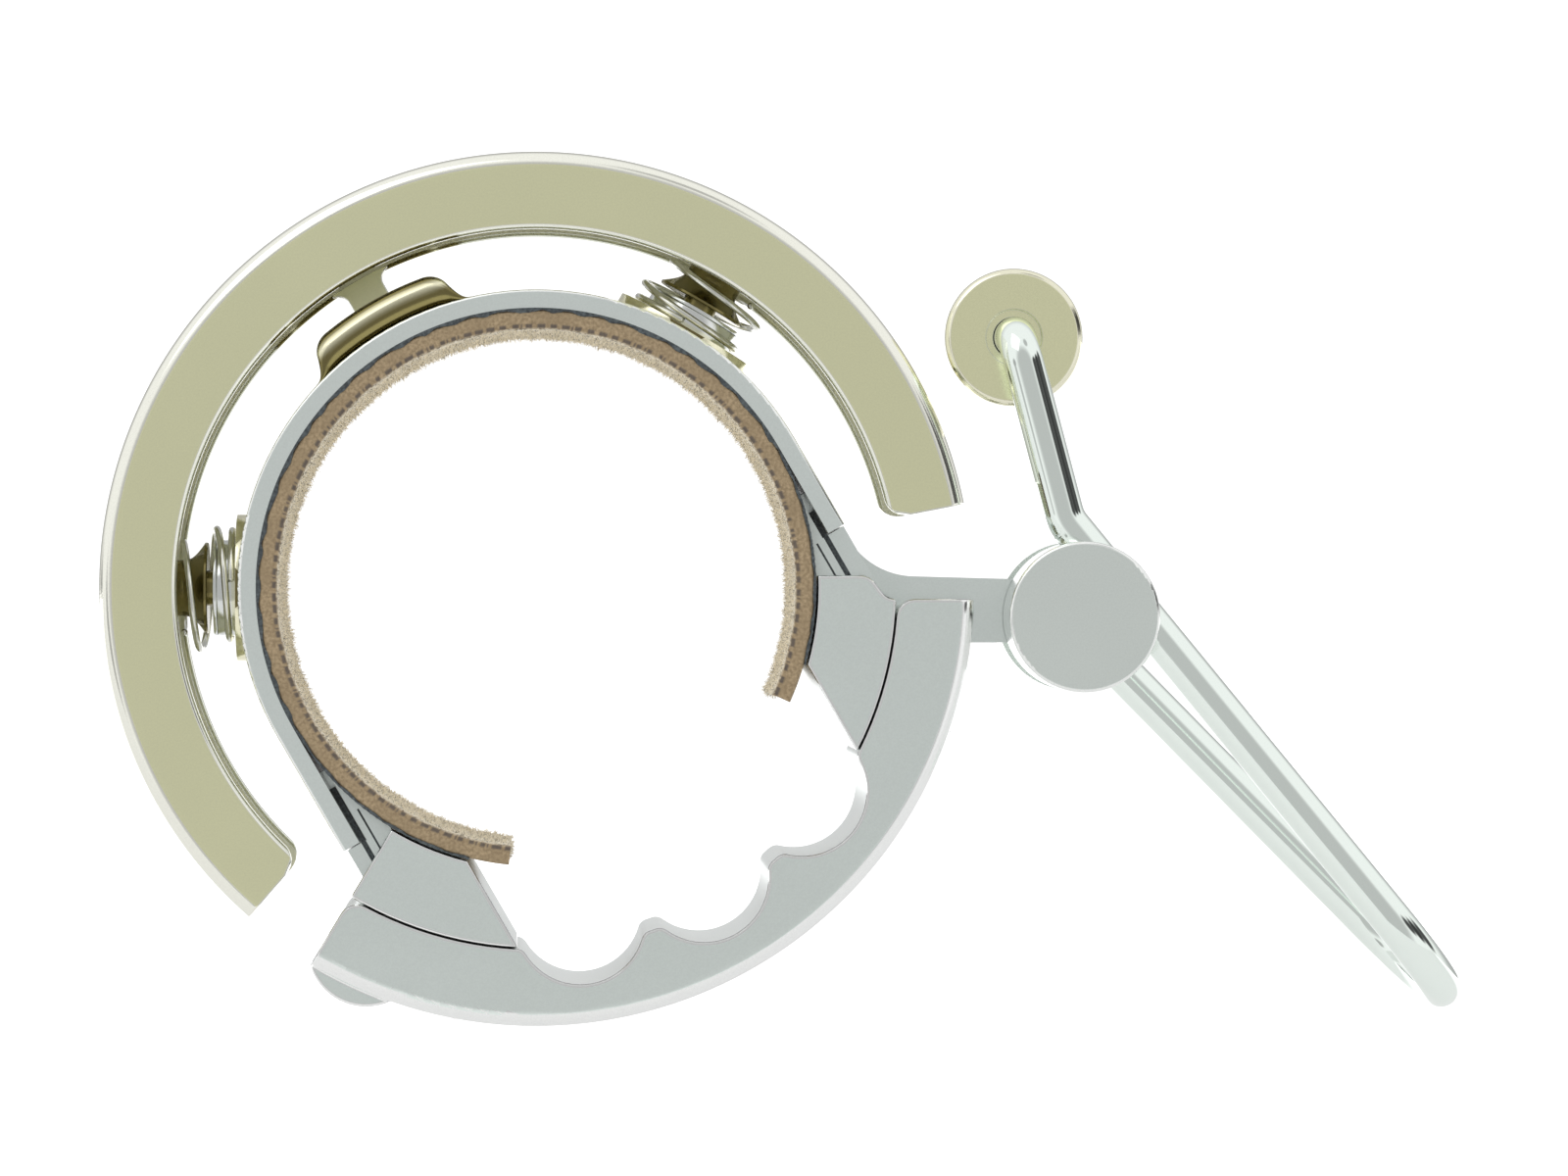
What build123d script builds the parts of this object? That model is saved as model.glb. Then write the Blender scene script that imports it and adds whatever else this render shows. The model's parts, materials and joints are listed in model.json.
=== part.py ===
from build123d import *
import os
from math import asin, atan2, cos, degrees, hypot, radians, sin, sqrt

# Bicycle bell: an open brass ring floats round a handlebar clamp, and a sprung wire striker rings it.
# Millimetres. Y runs along the handlebar's axis, from the near face to the far face, X points to the
# striker, Z up, and the origin is the centre of the clamp's bore. The clamp and the ring are
# symmetrical about a plane that leans from Z towards -X: spot() and polar() take places measured
# across and up that plane, or round it, and give them as (x, z).

# ---- clamp: strap, liner and lugs ----
LEAN = 30.0              # lean of the plane of symmetry from Z, degrees
BAR_R = 15.9             # oversize handlebar, 31.8 across
LINER_T = 1.2            # leather
LINER_HALF_ARC = 144.3   # liner's reach each side of the crown, degrees
BOND_T = 0.13            # glue line between leather and strap
BOND_HALF_ARC = 88.0     # glue line's reach each side of the crown, degrees
BOND_INSET = 0.2         # glue line behind the clamp's faces
BAND_W = 16.0            # strap, liner and saddle, along the bar
STRAP_T = 1.13           # strip thickness
LEG_LEFT = 8.1           # left leg's length below the bore's centre
LEG_RIGHT = 6.05         # right leg's length
STRAP_EDGE = 0.2         # softened strip edges
TONGUE_GAP = 0.36        # step between a lug's tongue and the strap's leg, at the tongue's sides
TONGUE_STEP = 1.2        # that step's width along the bar
TONGUE_TOP = 3.2         # tongue's upper end below the centre
LUG_INSIDE = 0.7         # lug's inner face inside the bar's radius, across the symmetry
LUG_INSET = 0.15         # left lug's step inside the strap's outer face
LUG_STEP = 2.6           # lugs narrower than the clamp, each side
LUG_BOTTOM = 13.4        # lug's lower end below the centre
LEG_GAP = 0.12           # seam between a leg's end and its lug
LEG_RIVET_R = 0.75
RIVET_SUNK = 0.05        # flush rivets end this far under their faces
LEG_RIVET_DROP = 5.0     # below the centre
LEG_RIVET_EDGE = 2.0     # from the lug's face

# ---- clamp screws ----
SCREW_OUT = 0.1          # screw axis outside the bar's radius, across the symmetry
SCREW_R = 1.25           # M2.5
SCREW_TOP = 9.9          # screw's tip below the centre
HEAD_R = 2.0
HEAD_SUNK = 0.95         # head's face inside the saddle's outer face
HEAD_H = 2.2
SOCKET_AF = 2.0          # hexagon socket across flats
SOCKET_DEPTH = 1.2
WASHER_T = 0.4
WASHER_R = 2.25
BOSS_R = 2.2             # threaded boss on each lug
BOSS_TOP = 9.8           # boss's upper end below the centre
THREAD_GAP = 0.05        # tapped hole over the screw
SCREW_GAP = 0.2          # plain hole over the screw
HOLE_PAST = 0.5          # tapped hole runs on past its boss
SHANK_IN_HEAD = 0.1      # screw's shank joined to its head

# ---- saddle ----
SADDLE_DEPTH = 4.8       # radial depth of the shell
SADDLE_EDGE = 1.0        # outer edge rounding
SADDLE_START = 209.0     # left end, degrees round the symmetry
SADDLE_TOP = -0.68       # right end's level face, Z
SHELL_CORNER = 1.2       # rounded inner corners
SCALLOP_R = 3.95         # cable notches
SCALLOP_OFF = 1.6        # their centres inside the shell's inner face
SCALLOP_PITCH = 22.5     # degrees
SCALLOP_COUNT = 3
CREST_R = 0.75           # rounded crests between notches
JAW_INSIDE = 3.85        # jaws' inner faces inside the bar's radius, across the symmetry
JAW_SEAM = 0.05          # seam between a jaw and the shell
JAW_TOP = 0.77           # right jaw's level top, Z
JAW_FALL = 2.3           # that top falls over this length up to the shell
JAW_END = 240.0          # past the left jaw's inner face, degrees round the symmetry
SADDLE_CLEAR = 0.2       # saddle over the lugs and the leather
FACE_CLEAR = 0.3         # sliding side gap round lugs and arm
EAR_R = 3.6              # half-moon ear under the left end
EAR_OFF = 2.4            # its centre inside the saddle's outer face
EAR_ANGLE = 214.7
EAR_SPAN = 40.0          # degrees round the symmetry that hold it
EAR_STEP = 2.0           # ear narrower than the saddle, each side

# ---- arm and pivot ----
PIVOT_OUT = 6.7          # striker's axis outside the ring, X
PIVOT_Z = -1.78
ARM_W = 5.0
ARM_TOP = 0.73           # arm's upper edge beside the fillet, Z
ARM_TOP_END = 0.45       # and at the eye
ARM_BOTTOM = -3.4
ARM_ROOT_DROP = 0.79     # the sweep into the arm begins this far down from the leg's end
EYE_R = 4.0
BUSH_R = 2.3
AXLE_R = 1.5
RUNNING_GAP = 0.03       # axle in its bush
DRUM_R = 4.65
DRUM_FACE = 9.0          # drum's faces from the middle
DRUM_EDGE = 0.25
CHEEK_GAP = 0.2          # cheek to arm
AXLE_HALF = 7.6
SPRING_WIRE_R = 0.3      # torsion spring
SPRING_R = 2.6           # its coils' mean radius
SPRING_TURNS = 3
SPRING_RECESS_R = 3.3
SPRING_RECESS = 2.1      # depth in the far cheek

# ---- striker ----
WIRE_R = 1.25
WIRE_Y = 6.2             # legs each side of the middle
HEAD_OFFSET = (-4.0, 17.38)    # from the striker's axis, x and z
ELBOW_OFFSET = (-1.0, 5.98)
TIP_OFFSET = (23.0, -23.32)
HEAD_BEND = 1.8
ELBOW_BEND = 2.6
TIP_BEND = 6.1
WIRE_GRIP = 0.02         # socket over the wire
WIRE_END_GAP = 0.25      # far leg's end to the axle
PUCK_R = 4.3
PUCK_HALF = 3.5          # half its length
PUCK_EDGE = 0.5
PUCK_DISH_R = 1.75       # dished mouth round the wire
PUCK_DISH = 0.6
WIRE_IN_PUCK = 2.5       # wire's end beyond the middle
GRUB_R = 1.0             # M2
GRUB_AF = 0.9
GRUB_SOCKET = 0.75
GRUB_SUNK = 0.05         # grub screws' outer faces inside the drum's
GRUB_OUT = 3.0           # far grub screw along its leg, from the axis

# ---- ring ----
RING_STANDOFF = 3.84     # ring's inner radius over the strap
RING_DEPTH = 4.8         # radial depth of the channel
RING_STEP = 2.0          # ring narrower than the clamp, each side
RING_T = 1.2
RING_EDGE = 1.0
LIP_EDGE = 0.4
RING_HALF_ARC = 108.9    # each side of the crown, degrees
LIP_CORNER = 1.3         # lips' cut corners
TAB_HALF = 1.25
TAB_OVER = 0.64          # tab's tip over the strap
TAB_SET = 0.15           # tab's face behind the far lip's
TAB_ROOT = 0.75
TAB_GRIP = 1.0           # tab's root inside the lip
TRIM = 0.01              # cutting shapes' reach past the faces they meet

# ---- ring mounts ----
MOUNT_ANGLE = 60.0       # each side of the crown
BASE_R = 4.6
BASE_T = 0.3
FERRULE_R = 3.0
FERRULE_BORE = 2.5
FERRULE_H = 1.49         # over the strap
COVER_T = 0.25           # washer that closes the ferrule
COVER_HOLE = 1.7         # its hole's radius
STEM_R = 1.1
STEM_HEAD_R = 1.9        # captive head under the cover
STEM_HEAD_T = 0.4
FLOAT = 0.28             # play under the cover
FLANGE_LIFT = 0.38       # flange over the cover
FLANGE_R = 2.85          # wide end of the trumpet
FLANGE_T = 0.25
NECK_R = 1.75
NECK_DROP = 0.2          # the trumpet has narrowed this far inside the ring
COIL_WIRE_R = 0.24
COIL_R = 3.45
COIL_TURNS = 2.5
COIL_CLEAR = 0.05        # coil's ends off the base and the flange
MOUNT_RIVET_R = 0.9
MOUNT_RIVET_HEAD_R = 1.5
MOUNT_RIVET_HEAD_T = 0.25

# ---- keeper ----
KEEPER_HALF = 4.7        # bridge, each side of the crown
KEEPER_H = 2.04          # over the strap
KEEPER_STEP = 1.0        # keeper narrower than the clamp, each side
KEEPER_CORNER = 1.5
KEEPER_EDGE = 0.98       # half-round near and far sides
FOOT_START = 3.3         # feet begin under the bridge's ends, each side of the crown
FOOT_HALF = 5.8
FOOT_T = 0.35
TAB_CLEAR = 0.3
KEEPER_RIVET_R = 0.5

# ---- worked-out sizes ----
LINER_R = BAR_R + LINER_T
STRAP_IN = LINER_R + BOND_T
STRAP_R = STRAP_IN + STRAP_T
HALF_BAND = BAND_W / 2
LUG_IN = BAR_R - LUG_INSIDE
LUG_W = BAND_W - 2 * LUG_STEP
LEG_RIVET_Y = LUG_W / 2 - LEG_RIVET_EDGE
TONGUE_OUT = STRAP_IN - TONGUE_GAP
RING_IN = STRAP_R + RING_STANDOFF
RING_R = RING_IN + RING_DEPTH
RING_W = BAND_W - 2 * RING_STEP
WEB_IN = RING_R - RING_T
TAB_END = STRAP_R + TAB_OVER
FERRULE_TOP = STRAP_R + FERRULE_H
NECK_START = RING_IN - NECK_DROP
KEEPER_TOP = STRAP_R + KEEPER_H
KEEPER_W = BAND_W - 2 * KEEPER_STEP
SADDLE_R = RING_R
SHELL_IN = SADDLE_R - SADDLE_DEPTH
SCALLOP_AT = SHELL_IN - SCALLOP_OFF
EAR_AT = SADDLE_R - EAR_OFF
EAR_W = BAND_W - 2 * EAR_STEP
JAW_ACROSS = BAR_R - JAW_INSIDE
SCREW_ACROSS = BAR_R + SCREW_OUT
HEAD_END = sqrt(SADDLE_R**2 - SCREW_ACROSS**2) - HEAD_SUNK
SCREW_SEAT = HEAD_END - HEAD_H
CHEEK_IN = ARM_W / 2 + CHEEK_GAP
PIVOT = (RING_R + PIVOT_OUT, PIVOT_Z)
HEAD_SPOT = (PIVOT[0] + HEAD_OFFSET[0], PIVOT[1] + HEAD_OFFSET[1])
ELBOW = (PIVOT[0] + ELBOW_OFFSET[0], PIVOT[1] + ELBOW_OFFSET[1])
TIP = (PIVOT[0] + TIP_OFFSET[0], PIVOT[1] + TIP_OFFSET[1])
PAST = 60.0              # reach of cutting shapes beyond the part


def spot(across, up):
    """(x, z) of a place measured across and up the plane of symmetry."""
    c, s = cos(radians(LEAN)), sin(radians(LEAN))
    return (across * c - up * s, across * s + up * c)


def polar(radius, angle):
    """(x, z) at a radius and an angle round the bore; 90 degrees is the ring's crown."""
    return spot(radius * cos(radians(angle)), radius * sin(radians(angle)))


def at(place, y):
    """Point in space over an (x, z) place."""
    return Vector(place[0], y, place[1])


def outline(points):
    """Closed flat shape with straight sides."""
    return make_face(Polyline(*points, close=True))


def leaning_block(inner, outer, bottom, top):
    """Rectangle measured across and up the plane of symmetry."""
    return outline([spot(inner, bottom), spot(outer, bottom), spot(outer, top), spot(inner, top)])


def level_block(left, right, bottom, top):
    """Rectangle measured along X and Z."""
    return outline([(left, bottom), (right, bottom), (right, top), (left, top)])


def sector(inner, outer, start, end):
    """Ring segment between two angles."""
    middle = (start + end) / 2
    return make_face([
        ThreePointArc(polar(outer, start), polar(outer, middle), polar(outer, end)),
        Line(polar(outer, end), polar(inner, end)),
        ThreePointArc(polar(inner, end), polar(inner, middle), polar(inner, start)),
        Line(polar(inner, start), polar(outer, start)),
    ])


def disc(place, radius):
    """Round flat shape about an (x, z) place."""
    return Pos(*place) * Circle(radius)


def plate(shape, near, far):
    """Flat shape drawn in x and z, given thickness between two stations along Y."""
    return extrude(Plane.XZ.offset(-far) * shape, amount=far - near)


def band(shape, width=BAND_W):
    """Flat shape given a width about the middle."""
    return plate(shape, -width / 2, width / 2)


def rod(start, end, radius):
    """Plain cylinder between two points in space."""
    along = end - start
    return Plane(origin=start, z_dir=along) * extrude(Circle(radius), amount=along.length)


def turned(origin, direction, stations):
    """Turned piece: (distance, radius) stations along an axis that leaves an origin."""
    profile = [(0, stations[0][0])] + [(radius, along) for along, radius in stations]
    profile += [(0, stations[-1][0])]
    body = revolve(Plane.XZ * outline(profile), Axis.Z)
    return Plane(origin=origin, z_dir=direction) * body


def near_corners(shape, radius, margin=0.02):
    """Corners of a flat shape that lie on a circle round the bore."""
    return [v for v in shape.vertices() if abs(hypot(v.X, v.Y) - radius) < margin]


def arc_edges(solid, radius, y, margin=0.02):
    """Edges of a solid that follow a circle round the bore at one station along Y."""
    found = []
    for edge in solid.edges():
        points = [edge @ 0, edge @ 0.5, edge @ 1]
        if all(abs(hypot(p.X, p.Z) - radius) < margin and abs(p.Y - y) < margin for p in points):
            found.append(edge)
    return found


# ---------------------------------------------------------------- clamp

def upper_strap():
    half_round = sector(STRAP_IN, STRAP_R, 0, 180)
    left = leaning_block(-STRAP_R, -STRAP_IN, -LEG_LEFT, 0)
    right = leaning_block(STRAP_IN, STRAP_R, -LEG_RIGHT, 0)
    strap = band(half_round + left + right)
    strap = fillet(arc_edges(strap, STRAP_R, HALF_BAND) + arc_edges(strap, STRAP_R, -HALF_BAND), STRAP_EDGE)
    for rivet in (*leg_rivet_rods(0), *mount_rivet_rods(0), *keeper_rivet_rods(0)):
        strap -= rivet
    return strap


def leather_liner():
    return band(sector(BAR_R, LINER_R, 90 - LINER_HALF_ARC, 90 + LINER_HALF_ARC))


def liner_bond():
    return band(sector(LINER_R, STRAP_IN, 90 - BOND_HALF_ARC, 90 + BOND_HALF_ARC), BAND_W - 2 * BOND_INSET)


def lug_core(side, outer, leg):
    """Tongue, block and threaded boss that one clamp screw pulls on; side is -1 or 1."""
    tongue = leaning_block(side * LUG_IN, side * TONGUE_OUT, -leg - LEG_GAP, -TONGUE_TOP)
    block = leaning_block(side * LUG_IN, side * outer, -LUG_BOTTOM, -leg - LEG_GAP)
    lug = band(tongue + block, LUG_W)
    seat = leaning_block(side * LUG_IN, side * STRAP_IN, -leg - LEG_GAP, -TONGUE_TOP)
    lug += band(seat, LUG_W - 2 * TONGUE_STEP)
    lug += screw_rod(side, BOSS_R, LUG_BOTTOM, BOSS_TOP)
    # The leather lies against the lug, so its outer face shapes the lug's inner face.
    lug -= band(disc((0, 0), LINER_R), PAST)
    lug -= screw_rod(side, SCREW_R + THREAD_GAP, PAST, BOSS_TOP - HOLE_PAST)
    for rivet in leg_rivet_rods(0):
        lug -= rivet
    return lug


def screw_rod(side, radius, low, high):
    """Cylinder on a clamp screw's axis between two depths below the centre."""
    return rod(at(spot(side * SCREW_ACROSS, -low), 0), at(spot(side * SCREW_ACROSS, -high), 0), radius)


def left_lug():
    return lug_core(-1, STRAP_R - LUG_INSET, LEG_LEFT)


def arm_outline():
    """Arm from the right leg to the eye, with a swept upper root."""
    start = spot(STRAP_R, -LEG_RIGHT - LEG_GAP)
    down_leg = spot(0, -1)
    # The root's arc touches the leg's outer face and the arm's upper edge, as far from where they meet.
    corner = (STRAP_R - ARM_TOP * sin(radians(LEAN))) / cos(radians(LEAN))
    reach = hypot(start[0] - corner, start[1] - ARM_TOP) - ARM_ROOT_DROP
    root_start = (corner - reach * down_leg[0], ARM_TOP - reach * down_leg[1])
    root_end = (corner + reach, ARM_TOP)
    inner = spot(STRAP_IN, -LUG_BOTTOM)
    edges = [
        Line(start, root_start),
        TangentArc(root_start, root_end, tangent=down_leg),
        Line(root_end, (PIVOT[0], ARM_TOP_END)),
        Line((PIVOT[0], ARM_TOP_END), (PIVOT[0], ARM_BOTTOM)),
        Line((PIVOT[0], ARM_BOTTOM), (inner[0], ARM_BOTTOM)),
        Line((inner[0], ARM_BOTTOM), start),
    ]
    return make_face(edges)


def arm_bracket():
    lug = lug_core(1, STRAP_R, LEG_RIGHT)
    arm = band(arm_outline() + disc(PIVOT, EYE_R), ARM_W)
    arm -= band(disc((0, 0), LINER_R), PAST)
    bracket = lug + arm
    bracket -= screw_rod(1, SCREW_R + THREAD_GAP, PAST, BOSS_TOP - HOLE_PAST)
    return bracket - band(disc(PIVOT, BUSH_R), PAST)


def leg_rivet_rods(trim):
    """Flush rivets through a leg and a tongue, two each side."""
    drop = -LEG_RIVET_DROP
    inner = sqrt(LINER_R**2 - drop**2) + trim
    return [
        rod(at(spot(side * inner, drop), y), at(spot(side * (STRAP_R - trim), drop), y), LEG_RIVET_R)
        for side in (-1, 1) for y in (-LEG_RIVET_Y, LEG_RIVET_Y)
    ]


def leg_rivets():
    leather = band(disc((0, 0), LINER_R + RIVET_SUNK), PAST)
    return Compound([(rivet - leather).solid() for rivet in leg_rivet_rods(RIVET_SUNK)])


# ---------------------------------------------------------------- ring mounts

def mount_line(angle):
    """Origin and direction of a ring mount's axis."""
    return Vector(0, 0, 0), at(polar(1, angle), 0)


def mount_rivet_rods(trim):
    """Shanks of the two rivets that hold the mounts' bases on the strap."""
    shank = [(STRAP_IN + trim, MOUNT_RIVET_R), (STRAP_R + BASE_T, MOUNT_RIVET_R)]
    return [turned(*mount_line(90 + side * MOUNT_ANGLE), shank) for side in (-1, 1)]


def mount_rivets():
    top = STRAP_R + BASE_T
    stations = [(STRAP_IN + RIVET_SUNK, MOUNT_RIVET_R), (top, MOUNT_RIVET_R), (top, MOUNT_RIVET_HEAD_R),
                (top + MOUNT_RIVET_HEAD_T, MOUNT_RIVET_HEAD_R)]
    return Compound([turned(*mount_line(90 + side * MOUNT_ANGLE), stations).solid() for side in (-1, 1)])


def mount_base(angle):
    base = turned(*mount_line(angle), [(STRAP_IN, BASE_R), (STRAP_R + BASE_T, BASE_R)])
    base -= band(disc((0, 0), STRAP_R), PAST)
    return base - turned(*mount_line(angle), [(STRAP_IN, MOUNT_RIVET_R), (RING_IN, MOUNT_RIVET_R)])


def mount_ferrule(angle):
    low = STRAP_R + BASE_T
    shell = turned(*mount_line(angle), [(low, FERRULE_R), (FERRULE_TOP, FERRULE_R)])
    return shell - turned(*mount_line(angle), [(STRAP_IN, FERRULE_BORE), (RING_IN, FERRULE_BORE)])


def mount_cover(angle):
    cover = turned(*mount_line(angle), [(FERRULE_TOP, FERRULE_R), (FERRULE_TOP + COVER_T, FERRULE_R)])
    return cover - turned(*mount_line(angle), [(STRAP_IN, COVER_HOLE), (RING_IN, COVER_HOLE)])


def flange_level():
    """Radius from the bore's centre of the trumpet flange's underside."""
    return FERRULE_TOP + COVER_T + FLANGE_LIFT


def ring_post(angle):
    """Trumpet post: a captive head in the ferrule, a flange over it and a neck to the ring's web."""
    head_top = FERRULE_TOP - FLOAT
    flange = flange_level()
    flange_top = flange + FLANGE_T
    trumpet = NECK_START - flange_top
    stations = [
        (head_top - STEM_HEAD_T, STEM_HEAD_R), (head_top, STEM_HEAD_R), (head_top, STEM_R), (flange, STEM_R),
        (flange, FLANGE_R), (flange_top, FLANGE_R),
        (flange_top + 0.3 * trumpet, NECK_R + 0.45 * (FLANGE_R - NECK_R)),
        (flange_top + 0.65 * trumpet, NECK_R + 0.1 * (FLANGE_R - NECK_R)),
        (NECK_START, NECK_R), (RING_R, NECK_R),
    ]
    return turned(*mount_line(angle), stations) & band(disc((0, 0), WEB_IN), BAND_W)


def mount_coil(angle):
    """Wire spring round the ferrule, between the base and the level of the post's flange."""
    low = STRAP_R + BASE_T + COIL_WIRE_R + COIL_CLEAR
    high = flange_level() - COIL_WIRE_R - COIL_CLEAR
    coil = coil_spring(COIL_R, COIL_WIRE_R, high - low, COIL_TURNS)
    origin, direction = mount_line(angle)
    return Plane(origin=origin + direction * low, z_dir=direction) * coil


def coil_spring(mean_radius, wire_radius, height, turns):
    """Round wire coiled about Z from z = 0."""
    path = Helix(pitch=height / turns, height=height, radius=mean_radius)
    start = Plane(origin=path @ 0, z_dir=path % 0)
    return sweep(start * Circle(wire_radius), path=path)


# ---------------------------------------------------------------- keeper

def keeper_rivet_rods(trim):
    across = (KEEPER_HALF + FOOT_HALF) / 2
    turn = degrees(asin(across / STRAP_R))
    shank = [(STRAP_IN + trim, KEEPER_RIVET_R), (STRAP_R + FOOT_T - trim, KEEPER_RIVET_R)]
    return [turned(*mount_line(90 + side * turn), shank) for side in (-1, 1)]


def keeper_rivets():
    return Compound([rivet.solid() for rivet in keeper_rivet_rods(RIVET_SUNK)])


def tab_keeper():
    """Half-round bridge on the strap, with a foot at each end and a slot that guides the ring's tab."""
    half_turn = degrees(asin(KEEPER_HALF / KEEPER_TOP))
    section = Pos((STRAP_R + KEEPER_TOP) / 2, 0) * Rectangle(KEEPER_H, KEEPER_W)
    section = fillet(section.vertices(), KEEPER_EDGE)
    bar = revolve(section, Axis.Y, revolution_arc=2 * half_turn)
    bar = Rot(0, -(90 + half_turn + LEAN), 0) * bar
    hump = sector(STRAP_R - TRIM, KEEPER_TOP + TRIM, 90 - half_turn, 90 + half_turn)
    bridge = bar & band(fillet(near_corners(hump, KEEPER_TOP + TRIM), KEEPER_CORNER))
    inner_turn, outer_turn = degrees(asin(FOOT_START / STRAP_R)), degrees(asin(FOOT_HALF / STRAP_R))
    for start, end in ((90 - outer_turn, 90 - inner_turn), (90 + inner_turn, 90 + outer_turn)):
        bridge += band(sector(STRAP_R, STRAP_R + FOOT_T, start, end), KEEPER_W)
    slot = leaning_block(-TAB_HALF - TAB_CLEAR, TAB_HALF + TAB_CLEAR, STRAP_IN, RING_IN)
    bridge -= plate(slot, RING_W / 2 - RING_T - TAB_CLEAR, RING_W / 2 + TAB_CLEAR)
    for rivet in keeper_rivet_rods(0):
        bridge -= rivet
    return bridge


# ---------------------------------------------------------------- ring

def bell_ring():
    """Channel section turned round the bore, open inwards, with cut and rounded ends and a guide tab."""
    section = Pos((RING_IN + RING_R) / 2, 0) * Rectangle(RING_DEPTH, RING_W)
    section = fillet(section.vertices().group_by(Axis.X)[-1], RING_EDGE)
    section -= Pos(WEB_IN - RING_DEPTH / 2, 0) * Rectangle(RING_DEPTH, RING_W - 2 * RING_T)
    section = fillet(section.vertices().group_by(Axis.X)[0], LIP_EDGE)
    ring = revolve(section, Axis.Y, revolution_arc=2 * RING_HALF_ARC)
    ring = Rot(0, -(90 + RING_HALF_ARC + LEAN), 0) * ring
    ends = sector(RING_IN - TRIM, RING_R + RING_T, 90 - RING_HALF_ARC, 90 + RING_HALF_ARC)
    ends = fillet(near_corners(ends, RING_IN - TRIM), LIP_CORNER)
    ring = ring & band(ends)
    return ring + plate(tab_outline(), RING_W / 2 - RING_T, RING_W / 2 - TAB_SET)


def tab_outline():
    """Tab that stands inwards from the far lip at the crown, with rounded roots."""
    half_turn = degrees(asin(TAB_HALF / RING_IN))
    tab = leaning_block(-TAB_HALF, TAB_HALF, TAB_END, RING_IN + TAB_GRIP)
    root = sector(RING_IN, RING_IN + TAB_GRIP, 90 - 3 * half_turn, 90 + 3 * half_turn)
    shape = tab + root
    reach = 2 * TAB_HALF
    crown = polar(RING_IN, 90)
    roots = [v for v in near_corners(shape, RING_IN) if hypot(v.X - crown[0], v.Y - crown[1]) < reach]
    return fillet(roots, TAB_ROOT)


# ---------------------------------------------------------------- saddle

def lug_pocket(side, outer):
    """Room in the saddle for a lug, open upwards so that the saddle can be drawn away from it."""
    low = -LUG_BOTTOM - SADDLE_CLEAR
    room = leaning_block(side * (LUG_IN - SADDLE_CLEAR), side * (outer + SADDLE_CLEAR), low, PAST)
    pocket = band(room, LUG_W + 2 * FACE_CLEAR)
    pocket += screw_rod(side, BOSS_R + SADDLE_CLEAR, -low, -PAST)
    return pocket


def screw_passage(side):
    """Plain hole for a clamp screw with a round seat for its washer and head."""
    passage = screw_rod(side, SCREW_R + SCREW_GAP, PAST, 0)
    return passage + screw_rod(side, WASHER_R + SADDLE_CLEAR, PAST, SCREW_SEAT - WASHER_T)


def arm_slot():
    """Room for the arm between the saddle's two walls, open upwards."""
    left = spot(STRAP_R, -LEG_RIGHT)[0] - SADDLE_CLEAR
    slot = level_block(left, PAST, ARM_BOTTOM - SADDLE_CLEAR, PAST)
    return band(slot, ARM_W + 2 * FACE_CLEAR)


def saddle_cuts():
    left = STRAP_R - LUG_INSET
    return [lug_pocket(-1, left), lug_pocket(1, STRAP_R), screw_passage(-1), screw_passage(1), arm_slot()]


def scallops(radius):
    """Cable notches, spaced round the middle of the saddle."""
    first = 270 - SCALLOP_PITCH * (SCALLOP_COUNT - 1) / 2
    return [disc(polar(SCALLOP_AT, first + i * SCALLOP_PITCH), radius) for i in range(SCALLOP_COUNT)]


def corners_in_order(shape):
    """Corners on the shell's inner face, from its left end round to its right end."""
    return sorted(near_corners(shape, SHELL_IN), key=lambda v: atan2(v.Y, v.X))


def saddle_shell():
    shape = sector(SHELL_IN, SADDLE_R, SADDLE_START, 360)
    shape -= level_block(0, PAST, SADDLE_TOP, PAST)
    for notch in scallops(SCALLOP_R):
        shape -= notch
    crests = corners_in_order(shape)[1:-1]
    shape = fillet(crests, CREST_R)
    corners = corners_in_order(shape)
    shape = fillet([corners[0], corners[-1]], SHELL_CORNER)
    shell = band(shape)
    rims = arc_edges(shell, SADDLE_R, HALF_BAND) + arc_edges(shell, SADDLE_R, -HALF_BAND)
    shell = fillet(rims, SADDLE_EDGE)
    ear = disc(polar(EAR_AT, EAR_ANGLE), EAR_R)
    ear &= sector(SHELL_IN + SHELL_CORNER, SADDLE_R + EAR_R, SADDLE_START, SADDLE_START + EAR_SPAN)
    shell += band(ear, EAR_W)
    for cut in saddle_cuts():
        shell -= cut
    return shell


def jaw(shape):
    piece = band(shape) - band(disc((0, 0), LINER_R + SADDLE_CLEAR), PAST)
    for cut in saddle_cuts():
        piece -= cut
    return piece


def seat_face():
    """Radius of the jaws' outer faces: the shell's inner face, less the seam."""
    return SHELL_IN - JAW_SEAM


def left_jaw():
    shape = sector(BAR_R, seat_face(), SADDLE_START, JAW_END)
    shape &= leaning_block(-PAST, -JAW_ACROSS, -PAST, PAST)
    return jaw(shape)


def right_jaw():
    face = seat_face()
    corner = sqrt(face**2 - JAW_ACROSS**2)
    fall_start = (SHELL_IN - JAW_FALL, JAW_TOP)
    fall_end = (sqrt(face**2 - SADDLE_TOP**2), SADDLE_TOP)
    foot = spot(JAW_ACROSS, -corner)
    lip = spot(JAW_ACROSS, -sqrt(BAR_R**2 - JAW_ACROSS**2))
    inner_top = (sqrt(BAR_R**2 - JAW_TOP**2), JAW_TOP)
    middle = (degrees(atan2(foot[1], foot[0])) + degrees(atan2(fall_end[1], fall_end[0]))) / 2
    edges = [
        Line(inner_top, fall_start),
        Spline([fall_start, fall_end], tangents=[(1, 0), (1, 0)]),
        ThreePointArc(fall_end, (face * cos(radians(middle)), face * sin(radians(middle))), foot),
        Line(foot, lip),
        Line(lip, inner_top),
    ]
    return jaw(make_face(edges))


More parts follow.
